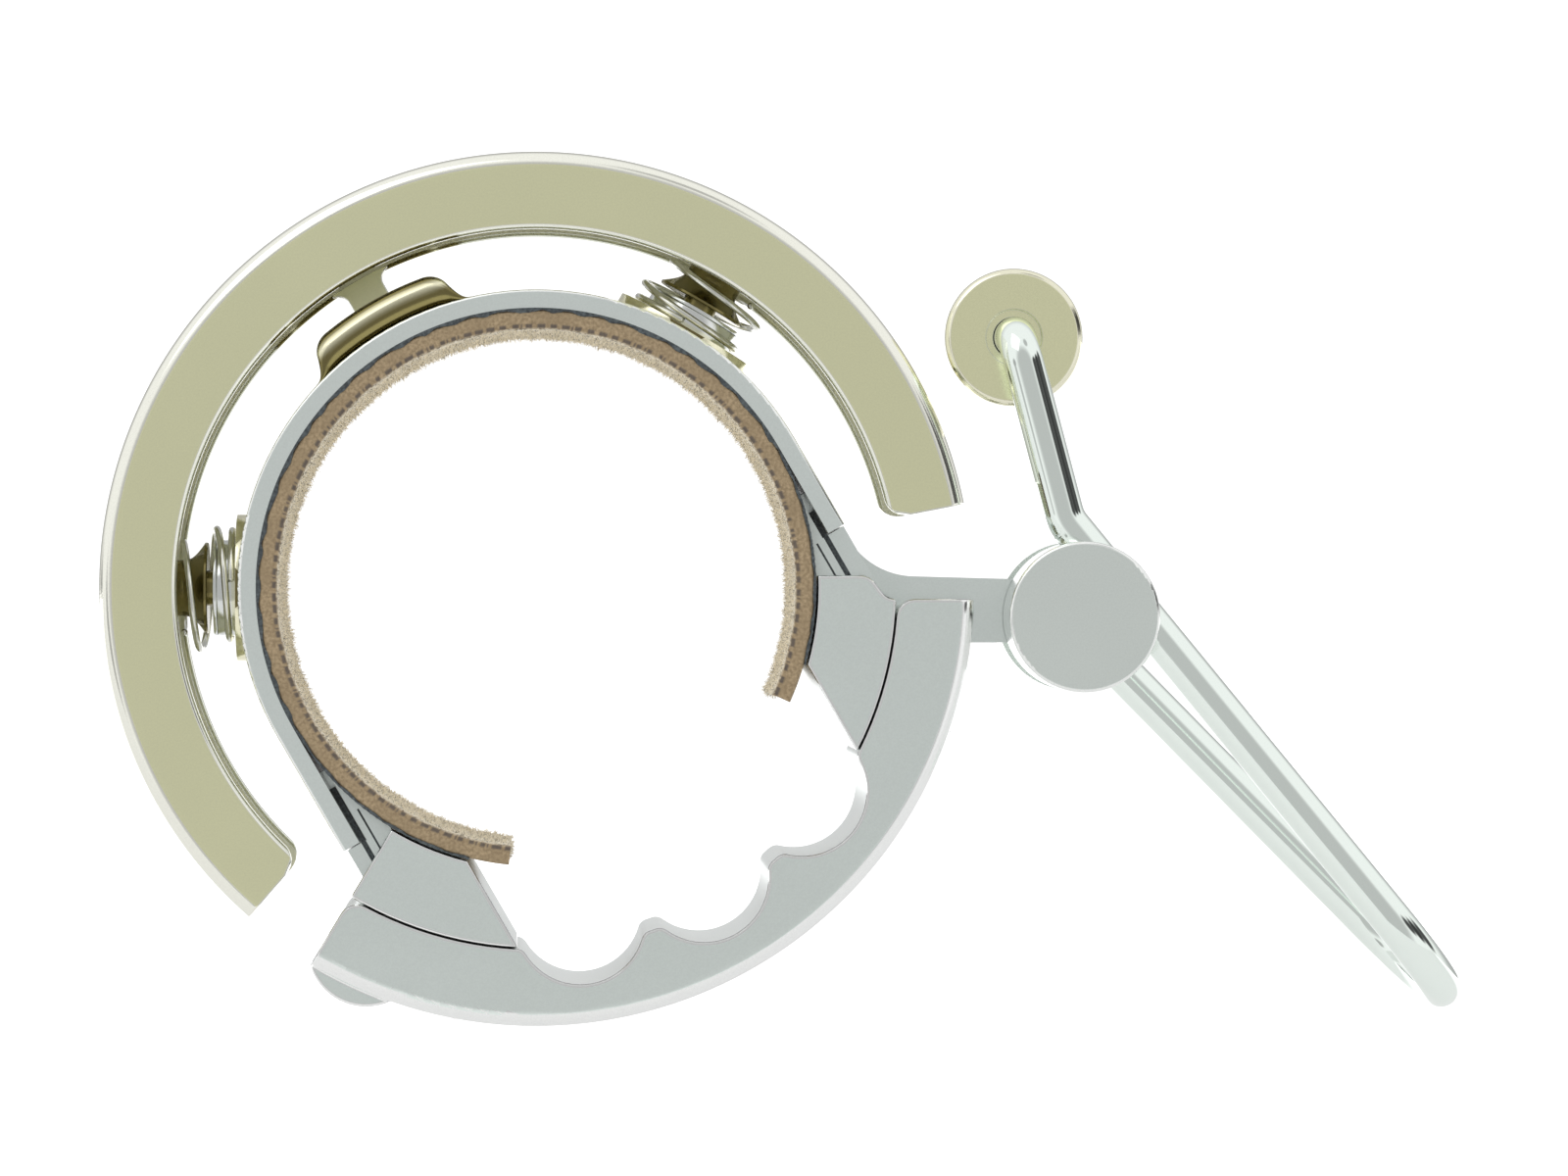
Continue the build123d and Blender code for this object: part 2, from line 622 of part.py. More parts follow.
def screw_washers():
    washers = []
    for side in (-1, 1):
        washer = screw_rod(side, WASHER_R, SCREW_SEAT, SCREW_SEAT - WASHER_T)
        washers.append((washer - screw_rod(side, SCREW_R + SCREW_GAP, PAST, 0)).solid())
    return Compound(washers)


def clamp_screw(side):
    """Socket head cap screw that draws the saddle up to the bar."""
    screw = screw_rod(side, SCREW_R, SCREW_SEAT + SHANK_IN_HEAD, SCREW_TOP)
    screw += screw_rod(side, HEAD_R, HEAD_END, SCREW_SEAT)
    face = Plane(origin=at(spot(side * SCREW_ACROSS, -HEAD_END), 0), z_dir=at(spot(0, 1), 0))
    return screw - face * extrude(hexagon(SOCKET_AF), amount=SOCKET_DEPTH)


def hexagon(across_flats):
    return RegularPolygon(across_flats / 2, 6, major_radius=False)


# ---------------------------------------------------------------- striker

def wire_path():
    near, far = -WIRE_Y, WIRE_Y
    back = Vector(*PIVOT) - Vector(*TIP)
    end = Vector(*PIVOT) - back.normalized() * (AXLE_R + WIRE_END_GAP)
    points = [at(HEAD_SPOT, WIRE_IN_PUCK), at(HEAD_SPOT, near), at(ELBOW, near), at(TIP, near), at(TIP, far),
              at((end.X, end.Y), far)]
    return FilletPolyline(*points, radius=[HEAD_BEND, ELBOW_BEND, TIP_BEND, TIP_BEND])


def striker_wire():
    path = wire_path()
    start = Plane(origin=path @ 0, z_dir=path % 0)
    return sweep(start * Circle(WIRE_R), path=path)


def hammer_head():
    puck = band(disc(HEAD_SPOT, PUCK_R), 2 * PUCK_HALF)
    puck = fillet([e for e in puck.edges() if e.geom_type == GeomType.CIRCLE], PUCK_EDGE)
    puck -= plate(disc(HEAD_SPOT, WIRE_R + WIRE_GRIP), -PAST, WIRE_IN_PUCK)
    return puck - plate(disc(HEAD_SPOT, PUCK_DISH_R), -PAST, -PUCK_HALF + PUCK_DISH)


def near_foot():
    """Point of the near leg closest to the pivot."""
    leg = (Vector(*TIP) - Vector(*ELBOW)).normalized()
    offset = Vector(*PIVOT) - Vector(*ELBOW)
    foot = Vector(*ELBOW) + leg * offset.dot(leg)
    return (foot.X, foot.Y)


def far_grub_spot():
    """Place of the far grub screw, over the far leg's end."""
    leg = (Vector(*TIP) - Vector(*PIVOT)).normalized()
    place = Vector(*PIVOT) + leg * GRUB_OUT
    return (place.X, place.Y)


def cheek(near, far):
    """One half of the drum with its outer edge broken and its blind axle bore."""
    drum = plate(disc(PIVOT, DRUM_R), near, far)
    outer = near if near < 0 else far
    rim = [e for e in drum.edges() if abs((e @ 0).Y - outer) < TRIM and abs((e @ 0.5).Y - outer) < TRIM]
    drum = fillet(rim, DRUM_EDGE)
    return drum - plate(disc(PIVOT, AXLE_R), -AXLE_HALF, AXLE_HALF)


def drum_near():
    drum = cheek(-DRUM_FACE, -CHEEK_IN)
    drum -= rod(at(ELBOW, -WIRE_Y), at(TIP, -WIRE_Y), WIRE_R + WIRE_GRIP)
    return drum - plate(disc(near_foot(), GRUB_R), -WIRE_Y, 0)


def drum_far():
    drum = cheek(CHEEK_IN, DRUM_FACE)
    drum -= rod(at(PIVOT, WIRE_Y), at(TIP, WIRE_Y), WIRE_R + WIRE_GRIP)
    drum -= plate(disc(PIVOT, SPRING_RECESS_R), 0, CHEEK_IN + SPRING_RECESS)
    return drum - plate(disc(far_grub_spot(), GRUB_R), WIRE_Y, PAST)


def grub_screws():
    """Two set screws that press on the wire's legs: the near one from inside, the far one from the face."""
    near_end, far_end = -CHEEK_IN - GRUB_SUNK, DRUM_FACE - GRUB_SUNK
    near = plate(disc(near_foot(), GRUB_R), -WIRE_Y + WIRE_R + WIRE_GRIP, near_end)
    near -= plate(Pos(*near_foot()) * hexagon(GRUB_AF), near_end - GRUB_SOCKET, near_end)
    far = plate(disc(far_grub_spot(), GRUB_R), WIRE_Y + WIRE_R + WIRE_GRIP, far_end)
    far -= plate(Pos(*far_grub_spot()) * hexagon(GRUB_AF), far_end - GRUB_SOCKET, far_end)
    return Compound([near.solid(), far.solid()])


def pivot_axle():
    return plate(disc(PIVOT, AXLE_R), -AXLE_HALF, AXLE_HALF)


def pivot_bush():
    bush = band(disc(PIVOT, BUSH_R), ARM_W)
    return bush - band(disc(PIVOT, AXLE_R + RUNNING_GAP), BAND_W)


def torsion_spring():
    height = SPRING_RECESS - 2 * SPRING_WIRE_R - 2 * COIL_CLEAR
    coil = coil_spring(SPRING_R, SPRING_WIRE_R, height, SPRING_TURNS)
    base = at(PIVOT, CHEEK_IN + SPRING_WIRE_R + COIL_CLEAR)
    return Plane(origin=base, z_dir=(0, 1, 0)) * coil


def export_all():
    """Writes one STEP file for each piece."""
    left, right = 90 + MOUNT_ANGLE, 90 - MOUNT_ANGLE
    pieces = {
        "upper_strap": upper_strap(), "leather_liner": leather_liner(), "liner_bond": liner_bond(),
        "left_lug": left_lug(), "arm_bracket": arm_bracket(), "leg_rivets": leg_rivets(),
        "mount_rivets": mount_rivets(), "tab_keeper": tab_keeper(), "keeper_rivets": keeper_rivets(),
        "bell_ring": bell_ring(), "saddle_shell": saddle_shell(), "left_jaw": left_jaw(),
        "right_jaw": right_jaw(), "screw_washers": screw_washers(), "left_clamp_screw": clamp_screw(-1),
        "right_clamp_screw": clamp_screw(1), "striker_wire": striker_wire(), "hammer_head": hammer_head(),
        "drum_near": drum_near(), "drum_far": drum_far(), "grub_screws": grub_screws(),
        "pivot_axle": pivot_axle(), "pivot_bush": pivot_bush(), "torsion_spring": torsion_spring(),
    }
    for side, angle in (("left", left), ("right", right)):
        pieces[f"{side}_mount_base"] = mount_base(angle)
        pieces[f"{side}_mount_ferrule"] = mount_ferrule(angle)
        pieces[f"{side}_mount_cover"] = mount_cover(angle)
        pieces[f"{side}_mount_coil"] = mount_coil(angle)
        pieces[f"{side}_ring_post"] = ring_post(angle)
    os.makedirs("parts", exist_ok=True)
    for name, piece in pieces.items():
        export_step(piece, f"parts/{name}.step")
        print(name, len(piece.solids()), round(piece.volume, 2))


export_all()
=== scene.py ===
"""Bicycle bell with an open brass ring: meshes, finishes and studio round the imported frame."""
import json
import logging
import math
import random
from dataclasses import dataclass, field
from enum import Enum

import bmesh
import bpy
from mathutils import Matrix, Vector


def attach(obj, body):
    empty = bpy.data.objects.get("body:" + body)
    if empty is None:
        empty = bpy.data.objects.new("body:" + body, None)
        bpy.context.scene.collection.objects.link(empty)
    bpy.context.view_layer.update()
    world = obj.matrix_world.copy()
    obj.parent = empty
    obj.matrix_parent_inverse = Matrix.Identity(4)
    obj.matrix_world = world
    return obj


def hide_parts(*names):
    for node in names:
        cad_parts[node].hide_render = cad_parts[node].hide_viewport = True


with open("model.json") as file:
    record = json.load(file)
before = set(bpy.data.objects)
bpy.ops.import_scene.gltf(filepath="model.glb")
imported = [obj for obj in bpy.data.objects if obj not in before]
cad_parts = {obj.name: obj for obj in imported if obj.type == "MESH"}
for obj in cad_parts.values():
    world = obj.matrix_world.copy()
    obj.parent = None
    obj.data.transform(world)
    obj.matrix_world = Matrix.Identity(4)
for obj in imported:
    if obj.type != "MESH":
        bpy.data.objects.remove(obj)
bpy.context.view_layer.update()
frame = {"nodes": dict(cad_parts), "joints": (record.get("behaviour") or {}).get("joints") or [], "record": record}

MM = 0.001
LOG = logging.getLogger("bell")
FLOAT, VECTOR = "NodeSocketFloat", "NodeSocketVector"
Value = bpy.types.NodeSocket | float | int | tuple | Vector
Colour = tuple[float, float, float]


# ---------------------------------------------------------------- frame of reference

@dataclass(frozen=True)
class Datum:
    """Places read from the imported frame, in metres."""

    crown: Vector = field(default_factory=lambda: Datum.joint_axis("ring_float"))
    pivot: Vector = field(default_factory=lambda: Vector(Datum.joint("hammer_swing")["pos_m"]))

    @staticmethod
    def joint(name: str) -> dict:
        """Returns one joint of the record by name."""
        return next(joint for joint in frame["joints"] if joint["name"] == name)

    @staticmethod
    def joint_axis(name: str) -> Vector:
        """Returns a joint's axis."""
        return Vector(Datum.joint(name)["axis"])

    @property
    def across(self) -> Vector:
        """Direction across the clamp, square to its plane of symmetry."""
        return Vector((self.crown.z, 0.0, -self.crown.x))

    def spot(self, across: float, up: float, y: float = 0.0) -> Vector:
        """Point measured across and up the plane of symmetry.

        Args:
            across: distance from the plane, towards the striker.
            up: distance towards the ring's crown.
            y: place along the bar.

        Returns:
            The point in the row frame.
        """
        return self.across * across + self.crown * up + Vector((0.0, y, 0.0))

    def polar(self, radius: float, angle: float, y: float = 0.0) -> Vector:
        """Point round the bore.

        Args:
            radius: distance from the bore's axis.
            angle: degrees round the bore; 90 is the crown.
            y: place along the bar.

        Returns:
            The point in the row frame.
        """
        turn = math.radians(angle)
        return self.spot(radius * math.cos(turn), radius * math.sin(turn), y)


DATUM = Datum()


# ---------------------------------------------------------------- shader graphs

class Graph:
    """Adds and links nodes in one node tree."""

    def __init__(self, tree: bpy.types.NodeTree) -> None:
        """Keeps the tree that nodes go into."""
        self.tree = tree

    def add(self, kind: str, inputs: dict | None = None, **settings) -> bpy.types.Node:
        """Adds a node.

        Args:
            kind: the node's type identifier.
            inputs: values or output sockets by input name or index.
            settings: node properties.

        Returns:
            The node.
        """
        node = self.tree.nodes.new(kind)
        for name, value in settings.items():
            setattr(node, name, value)
        for name, value in (inputs or {}).items():
            self.feed(node.inputs[name], value)
        return node

    def feed(self, socket: bpy.types.NodeSocket, value: Value) -> None:
        """Links an output socket to an input, or sets the input's value.

        Args:
            socket: the input.
            value: an output socket, or a plain value.
        """
        if isinstance(value, bpy.types.NodeSocket):
            self.tree.links.new(value, socket)
        else:
            socket.default_value = value

    def math(self, operation: str, *values: Value, clamp: bool = False) -> bpy.types.NodeSocket:
        """Adds a math node.

        Args:
            operation: the node's operation.
            values: its inputs in order.
            clamp: whether the result stays between 0 and 1.

        Returns:
            The node's output.
        """
        node = self.add("ShaderNodeMath", operation=operation, use_clamp=clamp)
        for index, value in enumerate(values):
            self.feed(node.inputs[index], value)
        return node.outputs[0]

    def mix(self, factor: Value, first: Value, second: Value) -> bpy.types.NodeSocket:
        """Mixes two colours.

        Args:
            factor: the second colour's share.
            first: the colour at 0.
            second: the colour at 1.

        Returns:
            The mixture.
        """
        node = self.add("ShaderNodeMix", {"Factor": factor, 6: first, 7: second}, data_type="RGBA")
        return node.outputs[2]

    def noise(self, vector: Value, scale: Value, detail: float = 3.0) -> bpy.types.NodeSocket:
        """Adds a noise texture and returns its value."""
        node = self.add("ShaderNodeTexNoise", {"Vector": vector, "Scale": scale, "Detail": detail})
        return node.outputs["Fac"]

    def remap(self, value: Value, low: float, high: float, start: Value, end: Value,
              curve: str = "LINEAR") -> bpy.types.NodeSocket:
        """Maps one range to another, clamped.

        Args:
            value: what is mapped.
            low: the value that gives start.
            high: the value that gives end.
            start: the result at low.
            end: the result at high.
            curve: the interpolation's type.

        Returns:
            The result.
        """
        node = self.add("ShaderNodeMapRange", {"Value": value, "From Min": low, "From Max": high,
                                               "To Min": start, "To Max": end},
                        interpolation_type=curve)
        return node.outputs[0]

    def attribute(self, name: str) -> bpy.types.NodeSocket:
        """Reads a named attribute of the mesh."""
        return self.add("ShaderNodeAttribute", attribute_name=name).outputs["Fac"]


@dataclass
class SharedGroup:
    """A node group that several materials use, with its graph and its two ends."""

    tree: bpy.types.NodeTree
    graph: Graph
    source: bpy.types.Node
    sink: bpy.types.Node


def shared_group(name: str, inputs: dict[str, tuple[str, object]],
                 outputs: tuple[str, ...]) -> SharedGroup:
    """Starts a node group used by several materials.

    Args:
        name: the group's name.
        inputs: socket type and default by input name.
        outputs: names of the outputs, all single values.

    Returns:
        The group, ready for its nodes.
    """
    tree = bpy.data.node_groups.new(name, "ShaderNodeTree")
    for label, (kind, value) in inputs.items():
        socket = tree.interface.new_socket(name=label, in_out="INPUT", socket_type=kind)
        if value is not None:
            socket.default_value = value
    for label in outputs:
        tree.interface.new_socket(name=label, in_out="OUTPUT", socket_type=FLOAT)
    graph = Graph(tree)
    return SharedGroup(tree, graph, graph.add("NodeGroupInput"), graph.add("NodeGroupOutput"))


def surface_wear_group() -> bpy.types.NodeTree:
    """Fine grain, faint handling marks and a few hairline scratches.

    Returns:
        The group.
    """
    group = shared_group(
        "surface_wear",
        {"Vector": (VECTOR, None), "Grain Size": (FLOAT, 0.12 * MM), "Marks": (FLOAT, 0.5)},
        ("Grain", "Smudge", "Scratch"),
    )
    graph, vector, marks = group.graph, group.source.outputs["Vector"], group.source.outputs["Marks"]
    fine = graph.math("DIVIDE", 1.0, group.source.outputs["Grain Size"])
    grain = graph.noise(vector, fine, detail=2.0)
    broad = graph.noise(vector, scale=140.0, detail=2.0)
    smudge = graph.remap(broad, 0.52, 0.72, 0.0, marks)
    turned_place = graph.add("ShaderNodeVectorRotate", {"Vector": vector, "Angle": 0.7},
                             rotation_type="Y_AXIS").outputs[0]
    stretched = graph.add("ShaderNodeVectorMath", {0: turned_place, 1: (60.0, 60.0, 2600.0)},
                          operation="MULTIPLY").outputs[0]
    streaks = graph.noise(stretched, scale=1.0, detail=1.0)
    patches = graph.noise(vector, scale=420.0, detail=1.0)
    lines = graph.remap(streaks, 0.71, 0.76, 0.0, 1.0)
    here = graph.remap(patches, 0.58, 0.66, 0.0, marks)
    graph.feed(group.sink.inputs["Grain"], grain)
    graph.feed(group.sink.inputs["Smudge"], smudge)
    graph.feed(group.sink.inputs["Scratch"], graph.math("MULTIPLY", lines, here))
    return group.tree


def fibre_tone_group() -> bpy.types.NodeTree:
    """Soft blotches and fine speckle for leather.

    Returns:
        The group.
    """
    group = shared_group(
        "fibre_tone", {"Vector": (VECTOR, None), "Speck Size": (FLOAT, 0.2 * MM)},
        ("Blotch", "Speck", "Height"),
    )
    graph, vector = group.graph, group.source.outputs["Vector"]
    fine = graph.math("DIVIDE", 1.0, group.source.outputs["Speck Size"])
    speck = graph.noise(vector, fine, detail=4.0)
    blotch = graph.noise(vector, scale=520.0, detail=3.0)
    height = graph.math("ADD", speck, graph.math("MULTIPLY", blotch, 0.6))
    graph.feed(group.sink.inputs["Blotch"], graph.remap(blotch, 0.35, 0.65, 0.0, 1.0))
    graph.feed(group.sink.inputs["Speck"], graph.remap(speck, 0.38, 0.64, 0.0, 1.0))
    graph.feed(group.sink.inputs["Height"], height)
    return group.tree


@dataclass(frozen=True)
class MetalFinish:
    """One metal: its flat faces, its rims, more polished and painted paler as a painted reflection, and its inner
    walls, whose own tone is painted light in the ring's channel and painted shade in the saddle's notches.
    """

    name: str
    colour: Colour
    roughness: float = 0.3
    rim_colour: Colour | None = None
    rim_roughness: float | None = None
    grain: float = 0.03
    grain_size: float = 0.12 * MM
    mottle: float = 0.05
    marks: float = 0.4
    wall_colour: Colour | None = None
    wall_roughness: float | None = None
    wall_metal: float = 1.0
    smudge_roughness: float = 0.08
    scratch_roughness: float = 0.12
    grain_depth: float = 0.05 * MM

    def build(self, wear: bpy.types.NodeTree) -> bpy.types.Material:
        """Makes the material.

        Args:
            wear: the shared surface_wear group.

        Returns:
            The material.
        """
        material = bpy.data.materials.new(self.name)
        material.use_nodes = True
        graph = Graph(material.node_tree)
        shader = material.node_tree.nodes["Principled BSDF"]
        place = graph.add("ShaderNodeTexCoord").outputs["Object"]
        marks = graph.add("ShaderNodeGroup", node_tree=wear)
        for label, value in (("Vector", place), ("Grain Size", self.grain_size), ("Marks", self.marks)):
            graph.feed(marks.inputs[label], value)
        rim, wall = graph.attribute("rim"), graph.attribute("wall")
        rim_colour = self.rim_colour or self.colour
        rim_roughness = self.roughness if self.rim_roughness is None else self.rim_roughness
        wall_colour = self.wall_colour or rim_colour
        wall_roughness = rim_roughness if self.wall_roughness is None else self.wall_roughness
        tone = graph.mix(rim, (*self.colour, 1.0), (*rim_colour, 1.0))
        tone = graph.mix(wall, tone, (*wall_colour, 1.0))
        shade = graph.remap(marks.outputs["Grain"], 0.3, 0.7, 1.0 - self.mottle, 1.0)
        tone = graph.add("ShaderNodeVectorMath", {0: tone, "Scale": shade}, operation="SCALE").outputs[0]
        rough = graph.remap(rim, 0.0, 1.0, self.roughness, rim_roughness)
        rough = graph.remap(wall, 0.0, 1.0, rough, wall_roughness)
        smudge = graph.math("MULTIPLY", marks.outputs["Smudge"], self.smudge_roughness)
        scratch = graph.math("MULTIPLY", marks.outputs["Scratch"], self.scratch_roughness)
        rough = graph.math("ADD", graph.math("ADD", rough, smudge), scratch, clamp=True)
        height = graph.math("SUBTRACT", marks.outputs["Grain"], marks.outputs["Scratch"])
        bump = graph.add("ShaderNodeBump", {"Strength": self.grain, "Distance": self.grain_depth,
                                            "Height": height}).outputs[0]
        metal = 1.0 if self.wall_metal == 1.0 else graph.remap(wall, 0.0, 1.0, 1.0, self.wall_metal)
        for label, value in (("Base Color", tone), ("Roughness", rough), ("Normal", bump),
                             ("Metallic", metal)):
            graph.feed(shader.inputs[label], value)
        return material


@dataclass(frozen=True)
class HideFinish:
    """Leather, or the dark glue finish that also paints the shade of gaps: a matt colour by blotch and speck,
    changed by the nap and dash attributes.
    """

    name: str
    colour: Colour
    dark: Colour
    nap_colour: Colour
    roughness: float = 0.85
    speck_size: float = 0.2 * MM
    bump: float = 0.35
    fuzz: float = 0.0
    mark: Colour = (0.07, 0.065, 0.07)
    mark_strength: float = 0.75
    nap_shade: float = 0.3
    fibre_depth: float = 0.15 * MM

    def build(self, tone_group: bpy.types.NodeTree) -> bpy.types.Material:
        """Makes the material.

        Args:
            tone_group: the shared fibre_tone group.

        Returns:
            The material.
        """
        material = bpy.data.materials.new(self.name)
        material.use_nodes = True
        graph = Graph(material.node_tree)
        shader = material.node_tree.nodes["Principled BSDF"]
        place = graph.add("ShaderNodeTexCoord").outputs["Object"]
        fibre = graph.add("ShaderNodeGroup", node_tree=tone_group)
        graph.feed(fibre.inputs["Vector"], place)
        graph.feed(fibre.inputs["Speck Size"], self.speck_size)
        speck = fibre.outputs["Speck"]
        amount = graph.math("MULTIPLY", speck, graph.remap(fibre.outputs["Blotch"], 0, 1, 0.45, 1.0))
        cut = graph.mix(amount, (*self.dark, 1.0), (*self.colour, 1.0))
        shadow = tuple(self.nap_shade * value for value in self.nap_colour)
        suede = graph.mix(graph.remap(speck, 0.0, 0.45, 0.0, 1.0), (*shadow, 1.0), (*self.nap_colour, 1.0))
        tone = graph.mix(graph.attribute("nap"), cut, suede)
        dash = graph.math("MULTIPLY", graph.attribute("dash"), self.mark_strength)
        tone = graph.mix(dash, tone, (*self.mark, 1.0))
        bump = graph.add("ShaderNodeBump", {"Strength": self.bump, "Distance": self.fibre_depth,
                                            "Height": fibre.outputs["Height"]}).outputs[0]
        for label, value in (("Base Color", tone), ("Roughness", self.roughness), ("Normal", bump),
                             ("Sheen Weight", self.fuzz)):
            graph.feed(shader.inputs[label], value)
        return material


class Slot(Enum):
    """Material slots of the record, by the finish that each has here."""

    STRAP = "strap_steel"
    LEATHER = "liner_leather"
    GLUE_AND_SHADE = "glue_line"
    BRIGHT = "bright_steel"
    DARK_BRASS = "dark_brass"
    RING = "bell_brass"
    HAMMER = "hammer_brass"
    WIRE = "wire_chrome"
    SPRING = "spring_steel"
    SADDLE = "saddle_metal"
    DRUM = "drum_metal"
    SCREW = "screw_steel"
    BRONZE = "bush_bronze"


METALS = {
    Slot.STRAP: MetalFinish("satin_strap", (0.90, 0.97, 0.935), 0.3, (0.93, 0.95, 0.93), 0.2),
    Slot.BRIGHT: MetalFinish("bright_steel", (0.80, 0.82, 0.80), 0.14, grain=0.01, mottle=0.02),
    # dark brass of the keeper and posts: its dark base colour is painted shade for the dark reflections on them,
    # and its pale rim colour is the keeper crest's painted highlight
    Slot.DARK_BRASS: MetalFinish("brass_with_painted_light", (0.23, 0.195, 0.08), 0.16, (0.98, 0.95, 0.70), 0.14,
                                 mottle=0.08),
    # ring: its paler rim colour is partly polish and partly painted reflection; inside the channel the paler,
    # non-metal wall colour is painted light where the channel lies in shade
    Slot.RING: MetalFinish("ring_brass", (0.93, 0.93, 0.61), 0.3, (0.95, 0.95, 0.86), 0.12,
                           wall_colour=(0.97, 0.96, 0.76), wall_roughness=0.6, wall_metal=0.0),
    Slot.HAMMER: MetalFinish("hammer_brass", (0.99, 0.99, 0.64), 0.18, (0.90, 0.88, 0.70), 0.1),
    Slot.WIRE: MetalFinish("striker_chrome", (0.90, 0.97, 0.92), 0.07, grain=0.004, mottle=0.01,
                           marks=0.2),
    Slot.SPRING: MetalFinish("spring_wire", (0.76, 0.76, 0.70), 0.16, grain=0.01),
    # saddle: the notch walls' wall colour sits a little darker than its rims, painted shade that tones down their
    # grazing reflection
    Slot.SADDLE: MetalFinish("satin_saddle", (0.90, 0.975, 0.935), 0.3, (0.95, 0.96, 0.95), 0.16,
                             wall_colour=(0.88, 0.92, 0.91), wall_roughness=0.36),
    Slot.DRUM: MetalFinish("satin_drum", (0.90, 0.965, 0.92), 0.3, (0.93, 0.95, 0.93), 0.15),
    Slot.SCREW: MetalFinish("plain_screw", (0.62, 0.64, 0.63), 0.25, mottle=0.06),
    Slot.BRONZE: MetalFinish("sintered_bronze", (0.55, 0.38, 0.20), 0.45, grain=0.2, mottle=0.15),
}
HIDES = {
    Slot.LEATHER: HideFinish("liner_leather", (0.535, 0.405, 0.245), (0.34, 0.25, 0.145),
                             (1.0, 0.92, 0.75), fuzz=0.2),
    # glue finish, also used as painted shade in the gap by the leather and in the grooves by the lugs
    Slot.GLUE_AND_SHADE: HideFinish("glue_and_gap_shade", (0.13, 0.155, 0.165), (0.045, 0.055, 0.06), (0.1, 0.12, 0.13), 0.5,
                          bump=0.5),
}


class Palette:
    """All finishes, built once."""

    def __init__(self) -> None:
        """Builds the shared groups and every material."""
        wear = surface_wear_group()
        fibre = fibre_tone_group()
        self.materials = {slot: finish.build(wear) for slot, finish in METALS.items()}
        self.materials |= {slot: finish.build(fibre) for slot, finish in HIDES.items()}

    def __getitem__(self, slot: Slot) -> bpy.types.Material:
        """Returns one slot's material."""
        return self.materials[slot]


# ---------------------------------------------------------------- meshes

BODIES = frame["record"]["behaviour"]["bodies"]
BODY_OF = {node: body for body, nodes in BODIES.items() for node in nodes}
SLOT_OF = {row["node"]: Slot(row["material_slot"]) for row in frame["record"]["subparts"]}
FLAT = 0.97
UPRIGHT = 0.2
INWARD = -0.25


def bake(obj: bpy.types.Object) -> bpy.types.Object:
    """Replaces an object's mesh by its evaluated mesh and removes its modifiers.

    Args:
        obj: the object.

    Returns:
        The same object.
    """
    bpy.context.view_layer.update()
    graph = bpy.context.evaluated_depsgraph_get()
    mesh = bpy.data.meshes.new_from_object(obj.evaluated_get(graph), depsgraph=graph)
    mesh.name = obj.name
    obj.modifiers.clear()
    obj.data = mesh
    return obj


def smooth(obj: bpy.types.Object, angle: float) -> None:
    """Shades an object smooth, sharp where faces meet at more than an angle.

    Args:
        obj: the object.
        angle: the least angle of a sharp edge, in degrees.
    """
    mesh = obj.data
    mesh.polygons.foreach_set("use_smooth", [True] * len(mesh.polygons))
    work = bmesh.new()
    work.from_mesh(mesh)
    limit = math.radians(angle)
    for edge in work.edges:
        edge.smooth = len(edge.link_faces) != 2 or edge.calc_face_angle(0.0) < limit
    work.to_mesh(mesh)
    work.free()


def set_faces(obj: bpy.types.Object, name: str, values: list[float]) -> None:
    """Writes one value for each face to a named attribute.

    Args:
        obj: the object.
        name: the attribute's name; it is made if it isn't there.
        values: the values in face order.
    """
    stored = obj.data.attributes.get(name) or obj.data.attributes.new(name, "FLOAT", "FACE")
    stored.data.foreach_set("value", values)


def set_points(obj: bpy.types.Object, name: str, values: list[float]) -> None:
    """Writes one value for each point to a new named attribute."""
    obj.data.attributes.new(name, "FLOAT", "POINT").data.foreach_set("value", values)


def is_wall(face: bpy.types.MeshPolygon) -> bool:
    """Tells whether a face looks at the bar's axis, square to it.

    Args:
        face: the face.

    Returns:
        Whether it does.
    """
    outward = Vector((face.center.x, 0.0, face.center.z)).normalized()
    return abs(face.normal.y) < UPRIGHT and face.normal.dot(outward) < INWARD


def mark_rims(obj: bpy.types.Object) -> None:
    """Gives faces that don't look along the bar a rim value of 1, and its inner walls a wall value of 1."""
    set_faces(obj, "rim", [float(abs(face.normal.y) < FLAT) for face in obj.data.polygons])
    set_faces(obj, "wall", [float(is_wall(face)) for face in obj.data.polygons])


@dataclass
class Piece:
    """One shown piece: its mesh, finish, body and the CAD nodes that it stands for."""

    obj: bpy.types.Object
    nodes: tuple[str, ...]
    palette: Palette

    def finish(self, angle: float = 32.0, rims: bool = True) -> bpy.types.Object:
        """Shades the piece, paints it and ties it to the frame.

        Args:
            angle: the least angle of a sharp edge, in degrees.
            rims: whether rims and walls are marked.

        Returns:
            The piece's object.
        """
        slot = SLOT_OF[self.nodes[0]]
        smooth(self.obj, angle)
        weighted = self.obj.modifiers.new("normals", "WEIGHTED_NORMAL")
        weighted.keep_sharp = True
        bake(self.obj)
        if rims:
            mark_rims(self.obj)
        self.obj.data.materials.clear()
        self.obj.data.materials.append(self.palette[slot])
        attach(self.obj, BODY_OF[self.nodes[0]])
        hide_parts(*self.nodes)
        return self.obj


def new_object(name: str, vertices: list, faces: list) -> bpy.types.Object:
    """Makes an object from points and faces, with consistent normals.

    Args:
        name: the object's name.
        vertices: the points.
        faces: point numbers, face by face.

    Returns:
        The object.
    """
    mesh = bpy.data.meshes.new(name)
    mesh.from_pydata(vertices, [], faces)
    work = bmesh.new()
    work.from_mesh(mesh)
    bmesh.ops.recalc_face_normals(work, faces=work.faces)
    work.to_mesh(mesh)
    work.free()
    obj = bpy.data.objects.new(name, mesh)
    bpy.context.scene.collection.objects.link(obj)
    return obj


